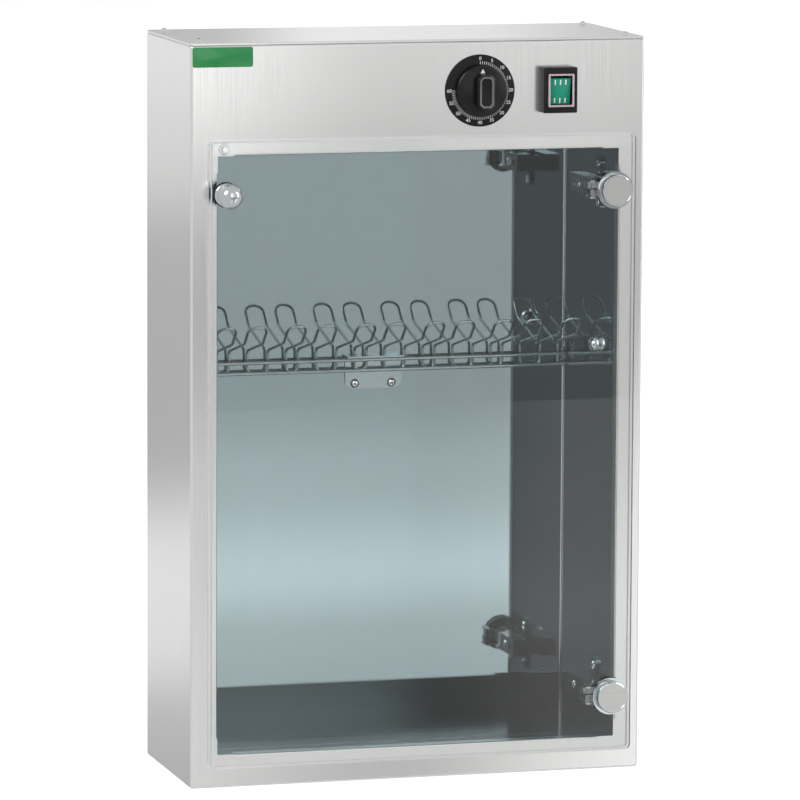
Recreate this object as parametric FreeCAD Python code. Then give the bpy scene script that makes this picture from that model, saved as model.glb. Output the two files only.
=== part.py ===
"""Wall-mounted ultraviolet knife sterilizer cabinet.

A folded stainless steel cabinet holds a mirror-lined chamber with a wire knife rack.
A clear acrylic door hangs on two concealed four-bar hinges at the right.
The lamp, its gear, the timer and the rocker switch sit in the compartment above the chamber.

Millimetres. X runs to the viewer's right, Y runs to the back and Z runs up.
The origin is the middle of the base, on the surface that the cabinet stands on.
"""

import FreeCAD, Part
import math
import os

V = FreeCAD.Vector
X_AXIS = V(1, 0, 0)
Y_AXIS = V(0, 1, 0)
Z_AXIS = V(0, 0, 1)

# Cabinet
WIDTH = 390.0
DEPTH = 155.0
HEIGHT = 620.0
SHEET = 1.0
BEND = 2.0
TOP_FLANGE = 14.0
REAR_FLANGE = 12.0
FIT = 0.2

# Front opening and the folded returns round it
STILE = 22.5
OPENING_BOTTOM = 28.0
FASCIA_H = 93.0
RETURN_DEPTH = 10.0
CORNER_RELIEF = 14.0

# Chamber lining
LINER_SHEET = 0.8
SHELF_EDGE = 10.0
LINER_FOOT = 10.0

# Top cover
LID_THICK = 2.0
LID_HEM = 9.0
LID_SCREW_INSET_X = 11.0
LID_SCREW_INSET_Y = 18.0
LID_SCREW_R = 1.95
LID_HEAD_R = 3.8
LID_HEAD_H = 2.4
SCREW_PLAY = 0.05

# Wall fixing holes through the back panel
WALL_HOLE_R = 3.5
WALL_HOLE_SPACING = 280.0
WALL_HOLE_DROP = 34.0

# Door
DOOR_THICK = 5.0
DOOR_GAP = 3.0
DOOR_LEFT_LAP = 6.5
DOOR_HINGE_LAP = 13.5
DOOR_TOP_LAP = 12.0
DOOR_BOTTOM_LAP = 11.0
DOOR_CORNER_R = 4.0
DOOR_EDGE_ROUND = 0.8

# Door knob
KNOB_FROM_EDGE = 11.5
KNOB_FROM_TOP = 43.0
KNOB_SEAL_R = 10.5
KNOB_SEAL_T = 1.5
KNOB_BASE_R = 9.8
KNOB_BASE_T = 3.0
KNOB_NECK_R = 5.0
KNOB_NECK_L = 7.0
KNOB_BALL_R = 10.4
KNOB_BALL_FLAT = 7.6
KNOB_SCREW_R = 2.0
KNOB_SCREW_HEAD_R = 5.0
KNOB_SCREW_HEAD_T = 2.2
KNOB_SCREW_REACH = 9.0
KNOB_SCREW_ROOM = 7.0

# Hinges: the pivots are measured from the opening's hinge-side edge and the front plane
HINGE_FROM_DOOR_END = 46.5
OUTER_ARM_PIVOT = (-22.0, 9.4)
OUTER_CUP_PIVOT = (2.2, -4.6)
INNER_ARM_PIVOT = (-22.0, 1.5)
INNER_CUP_PIVOT = (1.8, -9.2)
HINGE_PIN_R = 1.2
INNER_PIN_R = 0.8
PIN_PLAY = 0.05
OPEN_PIVOT_PLAY = 1.65
LINK_WIDTH = 3.2
LINK_INNER_Z = 0.4
LINK_OUTER_Z = 5.8
OUTER_LINK_BOW = (2.2, 7.0, 16.0, 2.4)
INNER_LINK_BOW = (5.0, 7.2, 15.0, 4.4)
LINK_EYE_WALL = 1.25
OPEN_EYE_WALL = 0.9
CUP_R = 14.0
CUP_FROM_DOOR_EDGE = 18.5
CUP_DEPTH = 11.5
CUP_POCKET_X = (-17.0, 5.7)
CUP_POCKET_HALF_Z = 6.3
CUP_FLOOR = 1.0
CUP_RING_R = 15.6
CUP_RING_T = 0.8
CUP_SEAL_R = 15.0
CUP_SEAL_T = 0.8
CAP_R = 13.4
CAP_WALL = 0.9
CAP_H = 7.5
CAP_BEVEL = 1.2
ARM_HALF_Z = 7.6
ARM_CHEEK_T = 1.4
ARM_X = (-18.5, -5.0)
ARM_REAR_Y = 76.0
ARM_NOSE_R = 2.9
ARM_WALL = 1.6
ARM_NECK_CHAMFER = 2.0
ARM_NECK_INNER_L = 6.0
ARM_NECK_OUTER_L = 8.0
ARM_THROAT_L = 12.0
ARM_SLOT_Y = (10.0, 18.0)
ARM_SLOT_W = 4.4
PLATE_T = 2.4
PLATE_Y = 52.0
PLATE_WING_W = 13.0
PLATE_WING_REACH = 23.0
PLATE_SCREW_Z = 16.0
PLATE_BLOCK_W = 40.0
HINGE_SCREW_R = 1.9
HINGE_SCREW_HEAD_R = 3.6
HINGE_SCREW_HEAD_T = 1.8
HINGE_SCREW_L = 6.0

# Door-operated safety switch
PLUNGER_X_FROM_OPENING = 5.5
PLUNGER_Z_ABOVE_OPENING = 5.6
PLUNGER_R = 2.2
PLUNGER_TRAVEL = 2.0
PLUNGER_PLAY = 0.08
PLUNGER_SLOT = 0.8
BUSH_R = 3.9
BUSH_RIM = 0.8
BUSH_PROUD = 1.2
BUSH_L = 8.0
MICRO_BODY = (10.0, 10.0, 20.0)
PLUNGER_DOOR_GAP = 0.3

# Timer
CONTROLS_ABOVE_OPENING = 50.0
TIMER_X = 51.5
DIAL_R = 30.0
DIAL_T = 1.2
KNOB_SKIRT_R = 22.0
KNOB_SKIRT_T = 7.0
KNOB_SKIRT_GAP = 0.8
KNOB_RECESS_DEPTH = 4.5
KNOB_RECESS_ROOM = 2.0
GRIP_W = 15.0
GRIP_L = 29.0
GRIP_H = 13.0
GRIP_BEVEL = 2.2
SHAFT_R = 3.0
SHAFT_PLAY = 0.06
SHAFT_REACH = 8.0
SHAFT_WELL = 11.0
TIMER_BUSH_R = 5.0
TIMER_BODY = (46.0, 38.0, 46.0)
TIMER_ABOVE_SHELF = 2.0
TIMER_NUT_R = 8.0
TIMER_NUT_T = 2.5

# Rocker switch
SWITCH_X = 118.0
BEZEL = (29.0, 13.0, 38.0)
BEZEL_ROUND = 2.0
SWITCH_BODY = (21.0, 26.0, 30.0)
SWITCH_WINDOW = (19.0, 25.0)
SWITCH_WELL_BEHIND_FACE = 7.0
ROCKER_PIVOT_Y = 4.0
ROCKER_R = 15.0
ROCKER_TILT = 7.0
ROCKER_PLAY = 0.35
ROCKER_PIN_R = 1.3
COVER_T = 1.0
COVER_RIM = (24.0, 29.0)
COVER_PROUD = 2.5
TERMINAL_TAB = (6.3, 8.0, 0.8)

# Label plate, left plain
LABEL = (51.0, 0.4, 16.5)
LABEL_INSET = 1.5
LABEL_R = 1.8

# Wire rack
RAIL_R = 1.6
RAIL_BELOW_OPENING = 191.3
RAIL_SPACING = 9.0
RAIL_FROM_WALL = 8.0
RAIL_END_GAP = 1.0
WIRE_R = 1.2
FINGER_FIRST_X = -144.0
FINGER_COUNT = 11
FINGER_PAIR_GAP = 26.5
FINGER_PAIR_SPACING = 60.6
FINGER_WIDTH = 16.0
FINGER_RISE = 10.4
FINGER_RUN = 53.5
FINGER_CLIMB = 12.7
FINGER_TIP_RUN = 16.6
FINGER_TIP_CLIMB = 15.7
FOOT_BEND = 4.8
KNEE_BEND = 5.0
TIP_BEND = 6.0
BOW_BEND = 7.7

# Rack bracket on the back wall
BRACKET_X = 3.0
BRACKET_W = 50.0
BRACKET_BELOW_RAIL = 25.5
BRACKET_T = 1.5
BRACKET_CORNER = 8.0
BRACKET_SCREW_SPACING = 32.5
BRACKET_SCREW_BELOW_RAIL = 21.1
WALL_SCREW_R = 1.95
WALL_SCREW_HEAD_R = 4.0
WALL_SCREW_HEAD_H = 2.6
WALL_SCREW_L = 5.0

# Cap nuts that clamp the linings to the side walls
CAP_NUT_R = 6.2
CAP_NUT_HEX_H = 4.6
CAP_NUT_DOME_R = 5.2
CAP_NUT_DOME_H = 3.6
CAP_NUT_WASHER_R = 7.0
CAP_NUT_WASHER_T = 1.0
CAP_NUT_Y = 56.0
CAP_NUT_ABOVE_RAIL = 19.5
CAP_NUT_STUD_R = 2.0

# Lamp
LAMP_R = 7.75
LAMP_WALL = 0.8
LAMP_END_ROOM = 28.5
LAMP_BELOW_SHELF = 14.0
LAMP_FROM_FRONT = 33.0
LAMP_CAP_R = 8.2
LAMP_CAP_L = 9.0
LAMP_PIN_R = 1.15
LAMP_PIN_SPACING = 4.8
LAMP_PIN_L = 7.0
HOLDER = (12.0, 20.0)
HOLDER_PIN_DEPTH = 7.3
REFLECTOR_T = 0.8
REFLECTOR_FLAT = 26.0
REFLECTOR_SPAN = 44.0
REFLECTOR_DROP = 9.0

# Electrical gear on the shelf
BALLAST = (110.0, 41.0, 28.0)
BALLAST_X = -112.0
BALLAST_Y = 30.0
BALLAST_FOOT = 12.0
GEAR_SCREW_R = 1.95
GEAR_SCREW_HEAD_R = 3.5
GEAR_SCREW_HEAD_H = 2.2
STARTER_R = 10.7
STARTER_H = 36.0
STARTER_X = -20.0
STARTER_Y = 35.0
STARTER_PINS = 12.7
STARTER_SOCKET = (30.0, 26.0, 12.0)
TERMINAL_BLOCK = (30.0, 17.0, 16.0)
TERMINAL_X = 130.0
TERMINAL_Y = 30.0
TERMINAL_PITCH = 9.5
EARTH_X = 165.0
EARTH_Y = 25.0
EARTH_STUD_R = 2.0
EARTH_STUD_H = 16.0
EARTH_NUT_R = 4.0
EARTH_NUT_H = 3.2

# Cable gland on the right wall
GLAND_Y = 48.0
GLAND_DROP = 32.0
GLAND_THREAD_R = 8.0
GLAND_BORE_R = 4.0
GLAND_HEX_R = 11.0
GLAND_HEX_T = 5.0
GLAND_DOME_R = 10.0
GLAND_DOME_L = 13.0
GLAND_NUT_T = 5.0
GLAND_THREAD_L = 10.0

# Internal wiring
WIRE_INSULATION_R = 1.2
WIRE_LOOP_R = 4.0
WIRE_TAKEOFF = 0.3
WIRE_HOLE_R = 2.6
WIRE_STEP = 5.0
WIRE_STAND_OFF = 20.0

HALF_W = WIDTH / 2
FRONT = -DEPTH / 2
BACK = DEPTH / 2
OPENING_X = HALF_W - STILE
OPENING_TOP = HEIGHT - FASCIA_H
BODY_TOP = HEIGHT - LID_THICK
CONTROLS_Z = OPENING_TOP + CONTROLS_ABOVE_OPENING
SHELF_Z = CONTROLS_Z - TIMER_BODY[2] / 2 - TIMER_ABOVE_SHELF - SHEET
WALL_HOLE_Z = HEIGHT - WALL_HOLE_DROP
GLAND_Z = HEIGHT - GLAND_DROP
WALL_FACE = BACK - SHEET - LINER_SHEET
FLOOR_TOP = SHEET + LINER_SHEET
LINER_X = OPENING_X + SHEET
SHELF_TOP = SHELF_Z + SHEET
DOOR_REAR = FRONT - DOOR_GAP
DOOR_FACE = DOOR_REAR - DOOR_THICK
DOOR_LEFT = -OPENING_X - DOOR_LEFT_LAP
DOOR_RIGHT = OPENING_X + DOOR_HINGE_LAP
DOOR_BOTTOM = OPENING_BOTTOM - DOOR_BOTTOM_LAP
DOOR_TOP = OPENING_TOP + DOOR_TOP_LAP
CUP_X = DOOR_RIGHT - CUP_FROM_DOOR_EDGE
KNOB_X = DOOR_LEFT + KNOB_FROM_EDGE
KNOB_Z = DOOR_TOP - KNOB_FROM_TOP
HINGES = {"lower": DOOR_BOTTOM + HINGE_FROM_DOOR_END, "upper": DOOR_TOP - HINGE_FROM_DOOR_END}
RAIL_Y = WALL_FACE - RAIL_FROM_WALL
RAIL_UPPER_Z = OPENING_TOP - RAIL_BELOW_OPENING
RAIL_LOWER_Z = RAIL_UPPER_Z - RAIL_SPACING
BRACKET_BOTTOM_Z = RAIL_UPPER_Z - BRACKET_BELOW_RAIL
BRACKET_SCREW_Z = RAIL_UPPER_Z - BRACKET_SCREW_BELOW_RAIL
CAP_NUT_Z = RAIL_UPPER_Z + CAP_NUT_ABOVE_RAIL
LAMP_L = WIDTH - 2 * STILE - 2 * LAMP_END_ROOM
LAMP_Y = FRONT + LAMP_FROM_FRONT
LAMP_Z = SHELF_Z - LAMP_BELOW_SHELF
PLUNGER_X = -OPENING_X + PLUNGER_X_FROM_OPENING
PLUNGER_Z = OPENING_TOP + PLUNGER_Z_ABOVE_OPENING


def box(x0, x1, y0, y1, z0, z1):
    """Return a box between two corners, given as low and high per axis."""
    return Part.makeBox(x1 - x0, y1 - y0, z1 - z0, V(x0, y0, z0))


def centred_box(size, x, y0, z):
    """Return a box centred on x and z that runs back from y0."""
    return box(x - size[0] / 2, x + size[0] / 2, y0, y0 + size[1], z - size[2] / 2, z + size[2] / 2)


def rod(x, y, z, radius, length, axis):
    """Return a round rod from a point along an axis."""
    return Part.makeCylinder(radius, length, V(x, y, z), axis)


def fuse(shapes):
    """Join solids into one clean solid."""
    return shapes[0].multiFuse(shapes[1:]).removeSplitter()


def cut(shape, tools):
    """Take every tool away from the shape."""
    for tool in tools:
        shape = shape.cut(tool)
    return shape.removeSplitter()


def group(solids):
    """Keep several separate solids together as one sub-part."""
    return Part.makeCompound(solids)


def edges_along(shape, axis, test=lambda point: True):
    """Return the straight edges that run along an axis and whose middle passes the test."""
    found = []
    for edge in shape.Edges:
        if not isinstance(edge.Curve, Part.Line):
            continue
        if abs(abs(edge.tangentAt(edge.FirstParameter).dot(axis)) - 1) > 1e-6:
            continue
        if test(edge.CenterOfMass):
            found.append(edge)
    return found


def rounded_box(bounds, radius, axis):
    """Return a box whose four edges along one axis are rounded."""
    shape = box(*bounds)
    return shape.makeFillet(radius, edges_along(shape, axis))


def prism(points, direction):
    """Return the solid swept by a closed outline along a vector."""
    return Part.Face(Part.makePolygon(points + [points[0]])).extrude(direction)


def turned(profile, origin, axis):
    """Return the solid of revolution of (radius, height) points about an axis from an origin."""
    outline = [V(radius, 0, height) for radius, height in profile]
    shape = Part.Face(Part.makePolygon(outline + [outline[0]])).revolve(V(0, 0, 0), Z_AXIS, 360)
    shape = Part.Solid(shape) if shape.ShapeType == "Shell" else shape
    shape.Placement = FreeCAD.Placement(origin, FreeCAD.Rotation(Z_AXIS, axis))
    return shape


def wire_edges(points, bends):
    """Return straight runs through points, joined by a tangent arc of its own radius at each corner."""
    edges = []
    start = points[0]
    for before, corner, after, bend in zip(points, points[1:], points[2:], bends):
        into = (corner - before).normalize()
        out = (after - corner).normalize()
        turn = math.acos(max(-1.0, min(1.0, into.dot(out))))
        if turn < 1e-4:
            continue
        trim = bend * math.tan(turn / 2)
        arc_start = corner - into * trim
        arc_end = corner + out * trim
        middle_way = (out - into).normalize()
        centre = corner + middle_way * (bend / math.cos(turn / 2))
        edges.append(Part.LineSegment(start, arc_start).toShape())
        edges.append(Part.Arc(arc_start, centre - middle_way * bend, arc_end).toShape())
        start = arc_end
    edges.append(Part.LineSegment(start, points[-1]).toShape())
    return edges


def tube_along(edges, radius):
    """Return a round solid wire that follows joined edges."""
    first = edges[0]
    start = first.valueAt(first.FirstParameter)
    section = Part.Wire(Part.makeCircle(radius, start, first.tangentAt(first.FirstParameter)))
    return Part.Wire(edges).makePipeShell([section], True, True)


def body_blank():
    """Return the closed folded skin of the cabinet before it is opened."""
    outer = box(-HALF_W, HALF_W, FRONT, BACK, 0, BODY_TOP)
    outer = outer.makeFillet(BEND, outer.Edges)
    inner = box(-HALF_W + SHEET, HALF_W - SHEET, FRONT + SHEET, BACK - SHEET, SHEET, BODY_TOP - SHEET)
    inner = inner.makeFillet(BEND - SHEET, inner.Edges)
    return outer.cut(inner)


def opening_return(half_span, length, middle):
    """Return one folded return, for the opening's edge on the +X side."""
    depth = FRONT + RETURN_DEPTH
    ring = Part.makeCylinder(BEND, length, V(half_span + BEND, FRONT + BEND, middle - length / 2), Z_AXIS)
    ring = ring.cut(Part.makeCylinder(BEND - SHEET, length,
                                      V(half_span + BEND, FRONT + BEND, middle - length / 2), Z_AXIS))
    quarter = box(half_span, half_span + BEND, FRONT, FRONT + BEND, middle - length / 2, middle + length / 2)
    flange = box(half_span, half_span + SHEET, FRONT + BEND, depth, middle - length / 2, middle + length / 2)
    return fuse([ring.common(quarter), flange])


def skin_part(x0, x1, y0, y1):
    """Return the folded skin between two X planes and two Y planes, open at the top and the rear."""
    part = body_blank().common(box(x0, x1, y0, y1, -BEND, HEIGHT))
    top = box(-HALF_W + TOP_FLANGE, HALF_W - TOP_FLANGE, FRONT + TOP_FLANGE, BACK + BEND,
              BODY_TOP - BEND, BODY_TOP + BEND)
    rear = box(-HALF_W + REAR_FLANGE, HALF_W - REAR_FLANGE, BACK - BEND, BACK + BEND,
               REAR_FLANGE, BODY_TOP + BEND)
    return part.cut(top).cut(rear)


def control_holes():
    """Return the cuts in the fascia for the timer, the rocker switch and the door switch."""
    return [rod(TIMER_X, FRONT - 1, CONTROLS_Z, TIMER_BUSH_R + SCREW_PLAY, SHEET + 2, Y_AXIS),
            rod(PLUNGER_X, FRONT - 1, PLUNGER_Z, BUSH_R + SCREW_PLAY, SHEET + 2, Y_AXIS),
            centred_box((SWITCH_BODY[0] + FIT, SHEET + 2, SWITCH_BODY[2] + FIT), SWITCH_X, FRONT - 1,
                        CONTROLS_Z)]


def front_panel():
    """Return the front with its corner bends, top and bottom flanges, and the opening with its returns."""
    half_h = (OPENING_TOP - OPENING_BOTTOM) / 2
    middle = (OPENING_TOP + OPENING_BOTTOM) / 2
    centre = V(0, 0, middle)
    flange_x = HALF_W - TOP_FLANGE
    sheet = skin_part(-HALF_W, HALF_W, FRONT, FRONT + BEND)
    flanges = skin_part(-flange_x, flange_x, FRONT, FRONT + TOP_FLANGE)
    cuts = [box(-OPENING_X, OPENING_X, FRONT - BEND, FRONT + BEND, OPENING_BOTTOM,
                OPENING_TOP)] + control_holes()
    returns = []
    for turn, half_span, half_length in ((0, OPENING_X, half_h), (180, OPENING_X, half_h),
                                         (90, half_h, OPENING_X), (270, half_h, OPENING_X)):
        length = 2 * (half_length - CORNER_RELIEF)
        strip = box(half_span, half_span + BEND, FRONT - BEND, FRONT + BEND,
                    middle - length / 2, middle + length / 2)
        strip.rotate(centre, Y_AXIS, turn)
        cuts.append(strip)
        folded = opening_return(half_span, length, middle)
        folded.rotate(centre, Y_AXIS, turn)
        returns.append(folded)
    return fuse([cut(fuse([sheet, flanges]), cuts)] + returns)


def side_panel(side):
    """Return one side of the case with its top and rear flanges. The side is -1 at the left."""
    x0, x1 = sorted((side * (HALF_W - TOP_FLANGE), side * HALF_W))
    cuts = [rod(x, y, BODY_TOP - BEND, LID_SCREW_R + SCREW_PLAY, 2 * BEND, Z_AXIS)
            for x, y in lid_screw_places() if x * side > 0]
    if side > 0:
        cuts.append(rod(HALF_W - SHEET - 1, GLAND_Y, GLAND_Z, GLAND_THREAD_R + SCREW_PLAY, SHEET + 2, X_AXIS))
    return cut(skin_part(x0, x1, FRONT + BEND, BACK), cuts)


def base_plate():
    """Return the base with its rear flange."""
    flange_x = HALF_W - TOP_FLANGE
    return skin_part(-flange_x, flange_x, FRONT + TOP_FLANGE, BACK).removeSplitter()


def lid_screw_places():
    """Return the four lid screw centres."""
    x = HALF_W - LID_SCREW_INSET_X
    y = BACK - LID_SCREW_INSET_Y
    return [(side * x, end * y) for side in (-1, 1) for end in (-1, 1)]


def top_cover():
    """Return the flat cover with its hemmed, rounded edge and four screw holes."""
    outer = box(-HALF_W, HALF_W, FRONT, BACK, BODY_TOP, HEIGHT)
    outer = outer.makeFillet(BEND, edges_along(outer, Z_AXIS))
    hollow = box(-HALF_W + LID_HEM, HALF_W - LID_HEM, FRONT + LID_HEM, BACK - LID_HEM,
                 BODY_TOP - 1, HEIGHT - SHEET)
    rim = [edge for edge in outer.Edges if abs(edge.CenterOfMass.z - HEIGHT) < 1e-6]
    outer = outer.makeFillet(SHEET * 0.9, rim)
    holes = [rod(x, y, BODY_TOP - 1, LID_SCREW_R + 2 * FIT, LID_THICK + 2, Z_AXIS)
             for x, y in lid_screw_places()]
    return cut(outer, [hollow] + holes)


def domed_screw(x, y, z, radius, head_r, head_h, length, axis):
    """Return a domed screw whose head sits on a point and whose shank runs against the axis."""
    dome_r = (head_r ** 2 + head_h ** 2) / (2 * head_h)
    head = Part.makeSphere(dome_r, V(0, 0, head_h - dome_r))
    head = head.common(Part.makeCylinder(head_r, head_h, V(0, 0, 0), Z_AXIS))
    shank = Part.makeCylinder(radius, length, V(0, 0, -length), Z_AXIS)
    screw = fuse([head, shank])
    screw.Placement = FreeCAD.Placement(V(x, y, z), FreeCAD.Rotation(Z_AXIS, axis))
    return screw


def top_cover_screws():
    """Return the four domed screws of the top cover."""
    return group([domed_screw(x, y, HEIGHT, LID_SCREW_R, LID_HEAD_R, LID_HEAD_H, LID_THICK + 4, Z_AXIS)
                  for x, y in lid_screw_places()])


def floor_pan():
    """Return the mirror-polished chamber floor, which lies on the base."""
    inner_x = HALF_W - BEND
    plate = box(-inner_x, inner_x, FRONT + BEND, WALL_FACE - FIT, SHEET, FLOOR_TOP)
    lips = [box(low, low + LINER_SHEET, FRONT + BEND, WALL_FACE - FIT, SHEET, SHEET + LINER_FOOT)
            for low in (-inner_x, inner_x - LINER_SHEET)]
    return fuse([plate] + lips)


def back_panel():
    """Return the mirror-polished back with its top flange, the wall-fixing holes and the bracket holes."""
    inner_x = HALF_W - BEND
    flange_x = HALF_W - TOP_FLANGE - FIT
    plate = box(-inner_x, inner_x, WALL_FACE, BACK - SHEET, BEND, BODY_TOP - BEND)
    rise = box(-flange_x, flange_x, WALL_FACE, BACK - SHEET, BODY_TOP - BEND, BODY_TOP)
    flange = box(-flange_x, flange_x, BACK - TOP_FLANGE, BACK - SHEET, BODY_TOP - LINER_SHEET, BODY_TOP)
    holes = [rod(side * WALL_HOLE_SPACING / 2, WALL_FACE - 1, WALL_HOLE_Z, WALL_HOLE_R, LINER_SHEET + 2,
                 Y_AXIS)
             for side in (-1, 1)]
    holes += [rod(x, WALL_FACE - 1, BRACKET_SCREW_Z, WALL_SCREW_R + SCREW_PLAY, LINER_SHEET + 2, Y_AXIS)
              for x in bracket_screw_places()]
    return cut(fuse([plate, rise, flange]), holes)


def side_lining(side):
    """Return one mirror-polished side lining with its rear foot. The side is -1 at the left."""
    front_y = FRONT + BEND + FIT
    wall = box(LINER_X, LINER_X + LINER_SHEET, front_y, WALL_FACE, FLOOR_TOP, SHELF_Z)
    foot = box(LINER_X, LINER_X + LINER_FOOT, WALL_FACE - LINER_SHEET, WALL_FACE, FLOOR_TOP, SHELF_Z)
    holes = [rod(LINER_X - 1, FRONT + CAP_NUT_Y, CAP_NUT_Z, CAP_NUT_STUD_R + SCREW_PLAY, LINER_SHEET + 2,
                 X_AXIS)]
    if side > 0:
        for hinge_z in HINGES.values():
            for end in (-1, 1):
                holes.append(rod(LINER_X - 1, FRONT + PLATE_Y, hinge_z + end * PLATE_SCREW_Z,
                                 HINGE_SCREW_R + SCREW_PLAY, LINER_SHEET + 2, X_AXIS))
    lining = cut(fuse([wall, foot]), holes)
    return lining if side > 0 else lining.mirror(V(0, 0, 0), X_AXIS)


def lining_nut(side):
    """Return one cap nut on its stud: washer, hexagon and dome, on the side lining."""
    washer = Part.makeCylinder(CAP_NUT_WASHER_R, CAP_NUT_WASHER_T)
    dome = domed_screw(0, 0, CAP_NUT_HEX_H, CAP_NUT_STUD_R, CAP_NUT_DOME_R, CAP_NUT_DOME_H,
                       CAP_NUT_HEX_H + HALF_W - SHEET - LINER_X, Z_AXIS)
    nut = fuse([washer, hexagon(CAP_NUT_R, CAP_NUT_HEX_H), dome])
    return placed(nut, V(side * LINER_X, FRONT + CAP_NUT_Y, CAP_NUT_Z), V(-side, 0, 0))


def lamp_shelf():
    """Return the shelf between the chamber and the electrical compartment."""
    inner_x = HALF_W - SHEET - FIT
    front_y = FRONT + BEND
    plate = box(-inner_x, inner_x, front_y, WALL_FACE, SHELF_Z, SHELF_TOP)
    edges = [box(-inner_x, inner_x, WALL_FACE - SHEET, WALL_FACE, SHELF_Z, SHELF_TOP + SHELF_EDGE)]
    for low in (-inner_x, inner_x - SHEET):
        edges.append(box(low, low + SHEET, front_y, WALL_FACE, SHELF_Z, SHELF_TOP + SHELF_EDGE))
    holes = [rod(x, y, SHELF_Z - 1, WIRE_HOLE_R, SHEET + 2, Z_AXIS) for x, y in wire_hole_places()]
    for x, y in gear_screw_places():
        holes.append(rod(x, y, SHELF_Z - 1, GEAR_SCREW_R + SCREW_PLAY, SHEET + 2, Z_AXIS))
    holes.append(rod(EARTH_X, EARTH_Y, SHELF_Z - 1, EARTH_STUD_R + SCREW_PLAY, SHEET + 2, Z_AXIS))
    return cut(fuse([plate] + edges), holes)


def reflector():
    """Return the folded reflector under the shelf, above the lamp."""
    top = SHELF_Z
    flat = REFLECTOR_FLAT / 2
    span = REFLECTOR_SPAN / 2
    low = top - REFLECTOR_DROP
    section = [(-flat, top), (flat, top), (span, low), (span - REFLECTOR_T, low),
               (flat - REFLECTOR_T / 2, top - REFLECTOR_T), (-flat + REFLECTOR_T / 2, top - REFLECTOR_T),
               (-span + REFLECTOR_T, low), (-span, low)]
    half = LAMP_L / 2
    return prism([V(-half, LAMP_Y + y, z) for y, z in section], V(2 * half, 0, 0))


def uv_tube():
    """Return the lamp's glass tube."""
    outer = rod(-LAMP_L / 2, LAMP_Y, LAMP_Z, LAMP_R, LAMP_L, X_AXIS)
    inner = rod(-LAMP_L / 2 + LAMP_WALL, LAMP_Y, LAMP_Z, LAMP_R - LAMP_WALL, LAMP_L - 2 * LAMP_WALL, X_AXIS)
    return outer.cut(inner)


def lamp_cap(side):
    """Return one metal lamp cap with its two contact pins."""
    start = side * (LAMP_L / 2)
    out = V(side, 0, 0)
    parts = [rod(start, LAMP_Y, LAMP_Z, LAMP_CAP_R, LAMP_CAP_L, out)]
    for end in (-1, 1):
        parts.append(rod(start + side * (LAMP_CAP_L - 1), LAMP_Y + end * LAMP_PIN_SPACING / 2, LAMP_Z,
                         LAMP_PIN_R, LAMP_PIN_L + 1, out))
    return fuse(parts)


def lamp_holder(side):
    """Return one lamp holder, hung from the shelf, with the slot for the lamp pins."""
    near = LAMP_L / 2 + LAMP_CAP_L
    low, high = sorted((side * near, side * (near + HOLDER[0])))
    half = HOLDER[1] / 2
    block = box(low, high, LAMP_Y - half, LAMP_Y + half, LAMP_Z - half, SHELF_Z)
    block = block.makeFillet(half * 0.8, edges_along(block, X_AXIS, lambda point: point.z < LAMP_Z))
    slot_low, slot_high = sorted((side * near, side * (near + HOLDER_PIN_DEPTH)))
    slot_y = LAMP_PIN_SPACING / 2 + LAMP_PIN_R + SCREW_PLAY
    slot_z = LAMP_PIN_R + SCREW_PLAY
    return block.cut(box(slot_low, slot_high, LAMP_Y - slot_y, LAMP_Y + slot_y, LAMP_Z - half,
                         LAMP_Z + slot_z))


def gear_screw_places():
    """Return the centres of the ballast's two foot screws."""
    reach = (BALLAST[0] - BALLAST_FOOT) / 2
    return [(BALLAST_X + side * reach, BALLAST_Y) for side in (-1, 1)]


def ballast():
    """Return the laminated choke with its mounting feet."""
    width, depth, height = BALLAST
    core = box(BALLAST_X - width / 2 + BALLAST_FOOT, BALLAST_X + width / 2 - BALLAST_FOOT,
               BALLAST_Y - depth / 2, BALLAST_Y + depth / 2, SHELF_TOP, SHELF_TOP + height)
    core = core.makeChamfer(BEND, edges_along(core, X_AXIS, lambda point: point.z > SHELF_TOP + 1))
    foot = box(BALLAST_X - width / 2, BALLAST_X + width / 2, BALLAST_Y - depth / 4, BALLAST_Y + depth / 4,
               SHELF_TOP, SHELF_TOP + SHEET)
    holes = [rod(x, y, SHELF_TOP - 1, GEAR_SCREW_R + SCREW_PLAY, SHEET + 2, Z_AXIS)
             for x, y in gear_screw_places()]
    return cut(fuse([core, foot]), holes)


def ballast_screws():
    """Return the two screws that hold the choke's feet."""
    return group([domed_screw(x, y, SHELF_TOP + SHEET, GEAR_SCREW_R, GEAR_SCREW_HEAD_R, GEAR_SCREW_HEAD_H,
                              2 * SHEET + 1, Z_AXIS) for x, y in gear_screw_places()])


def starter_socket():
    """Return the starter's socket block, with the two pin sockets in its top."""
    width, depth, height = STARTER_SOCKET
    block = rounded_box((STARTER_X - width / 2, STARTER_X + width / 2, STARTER_Y - depth / 2,
                         STARTER_Y + depth / 2, SHELF_TOP, SHELF_TOP + height), BEND, Z_AXIS)
    sockets = [rod(STARTER_X + side * STARTER_PINS / 2, STARTER_Y, SHELF_TOP + height / 2,
                   2 * LAMP_PIN_R, height, Z_AXIS) for side in (-1, 1)]
    return cut(block, sockets)


def starter():
    """Return the starter can with its two contact studs."""
    base = SHELF_TOP + STARTER_SOCKET[2]
    can = rod(STARTER_X, STARTER_Y, base, STARTER_R, STARTER_H, Z_AXIS)
    can = can.makeFillet(BEND,
                         [edge for edge in can.Edges if abs(edge.CenterOfMass.z - base - STARTER_H) < 1e-6])
    studs = [rod(STARTER_X + side * STARTER_PINS / 2, STARTER_Y, base - 4, 2 * LAMP_PIN_R - SCREW_PLAY,
                 5, Z_AXIS) for side in (-1, 1)]
    return fuse([can] + studs)


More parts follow.
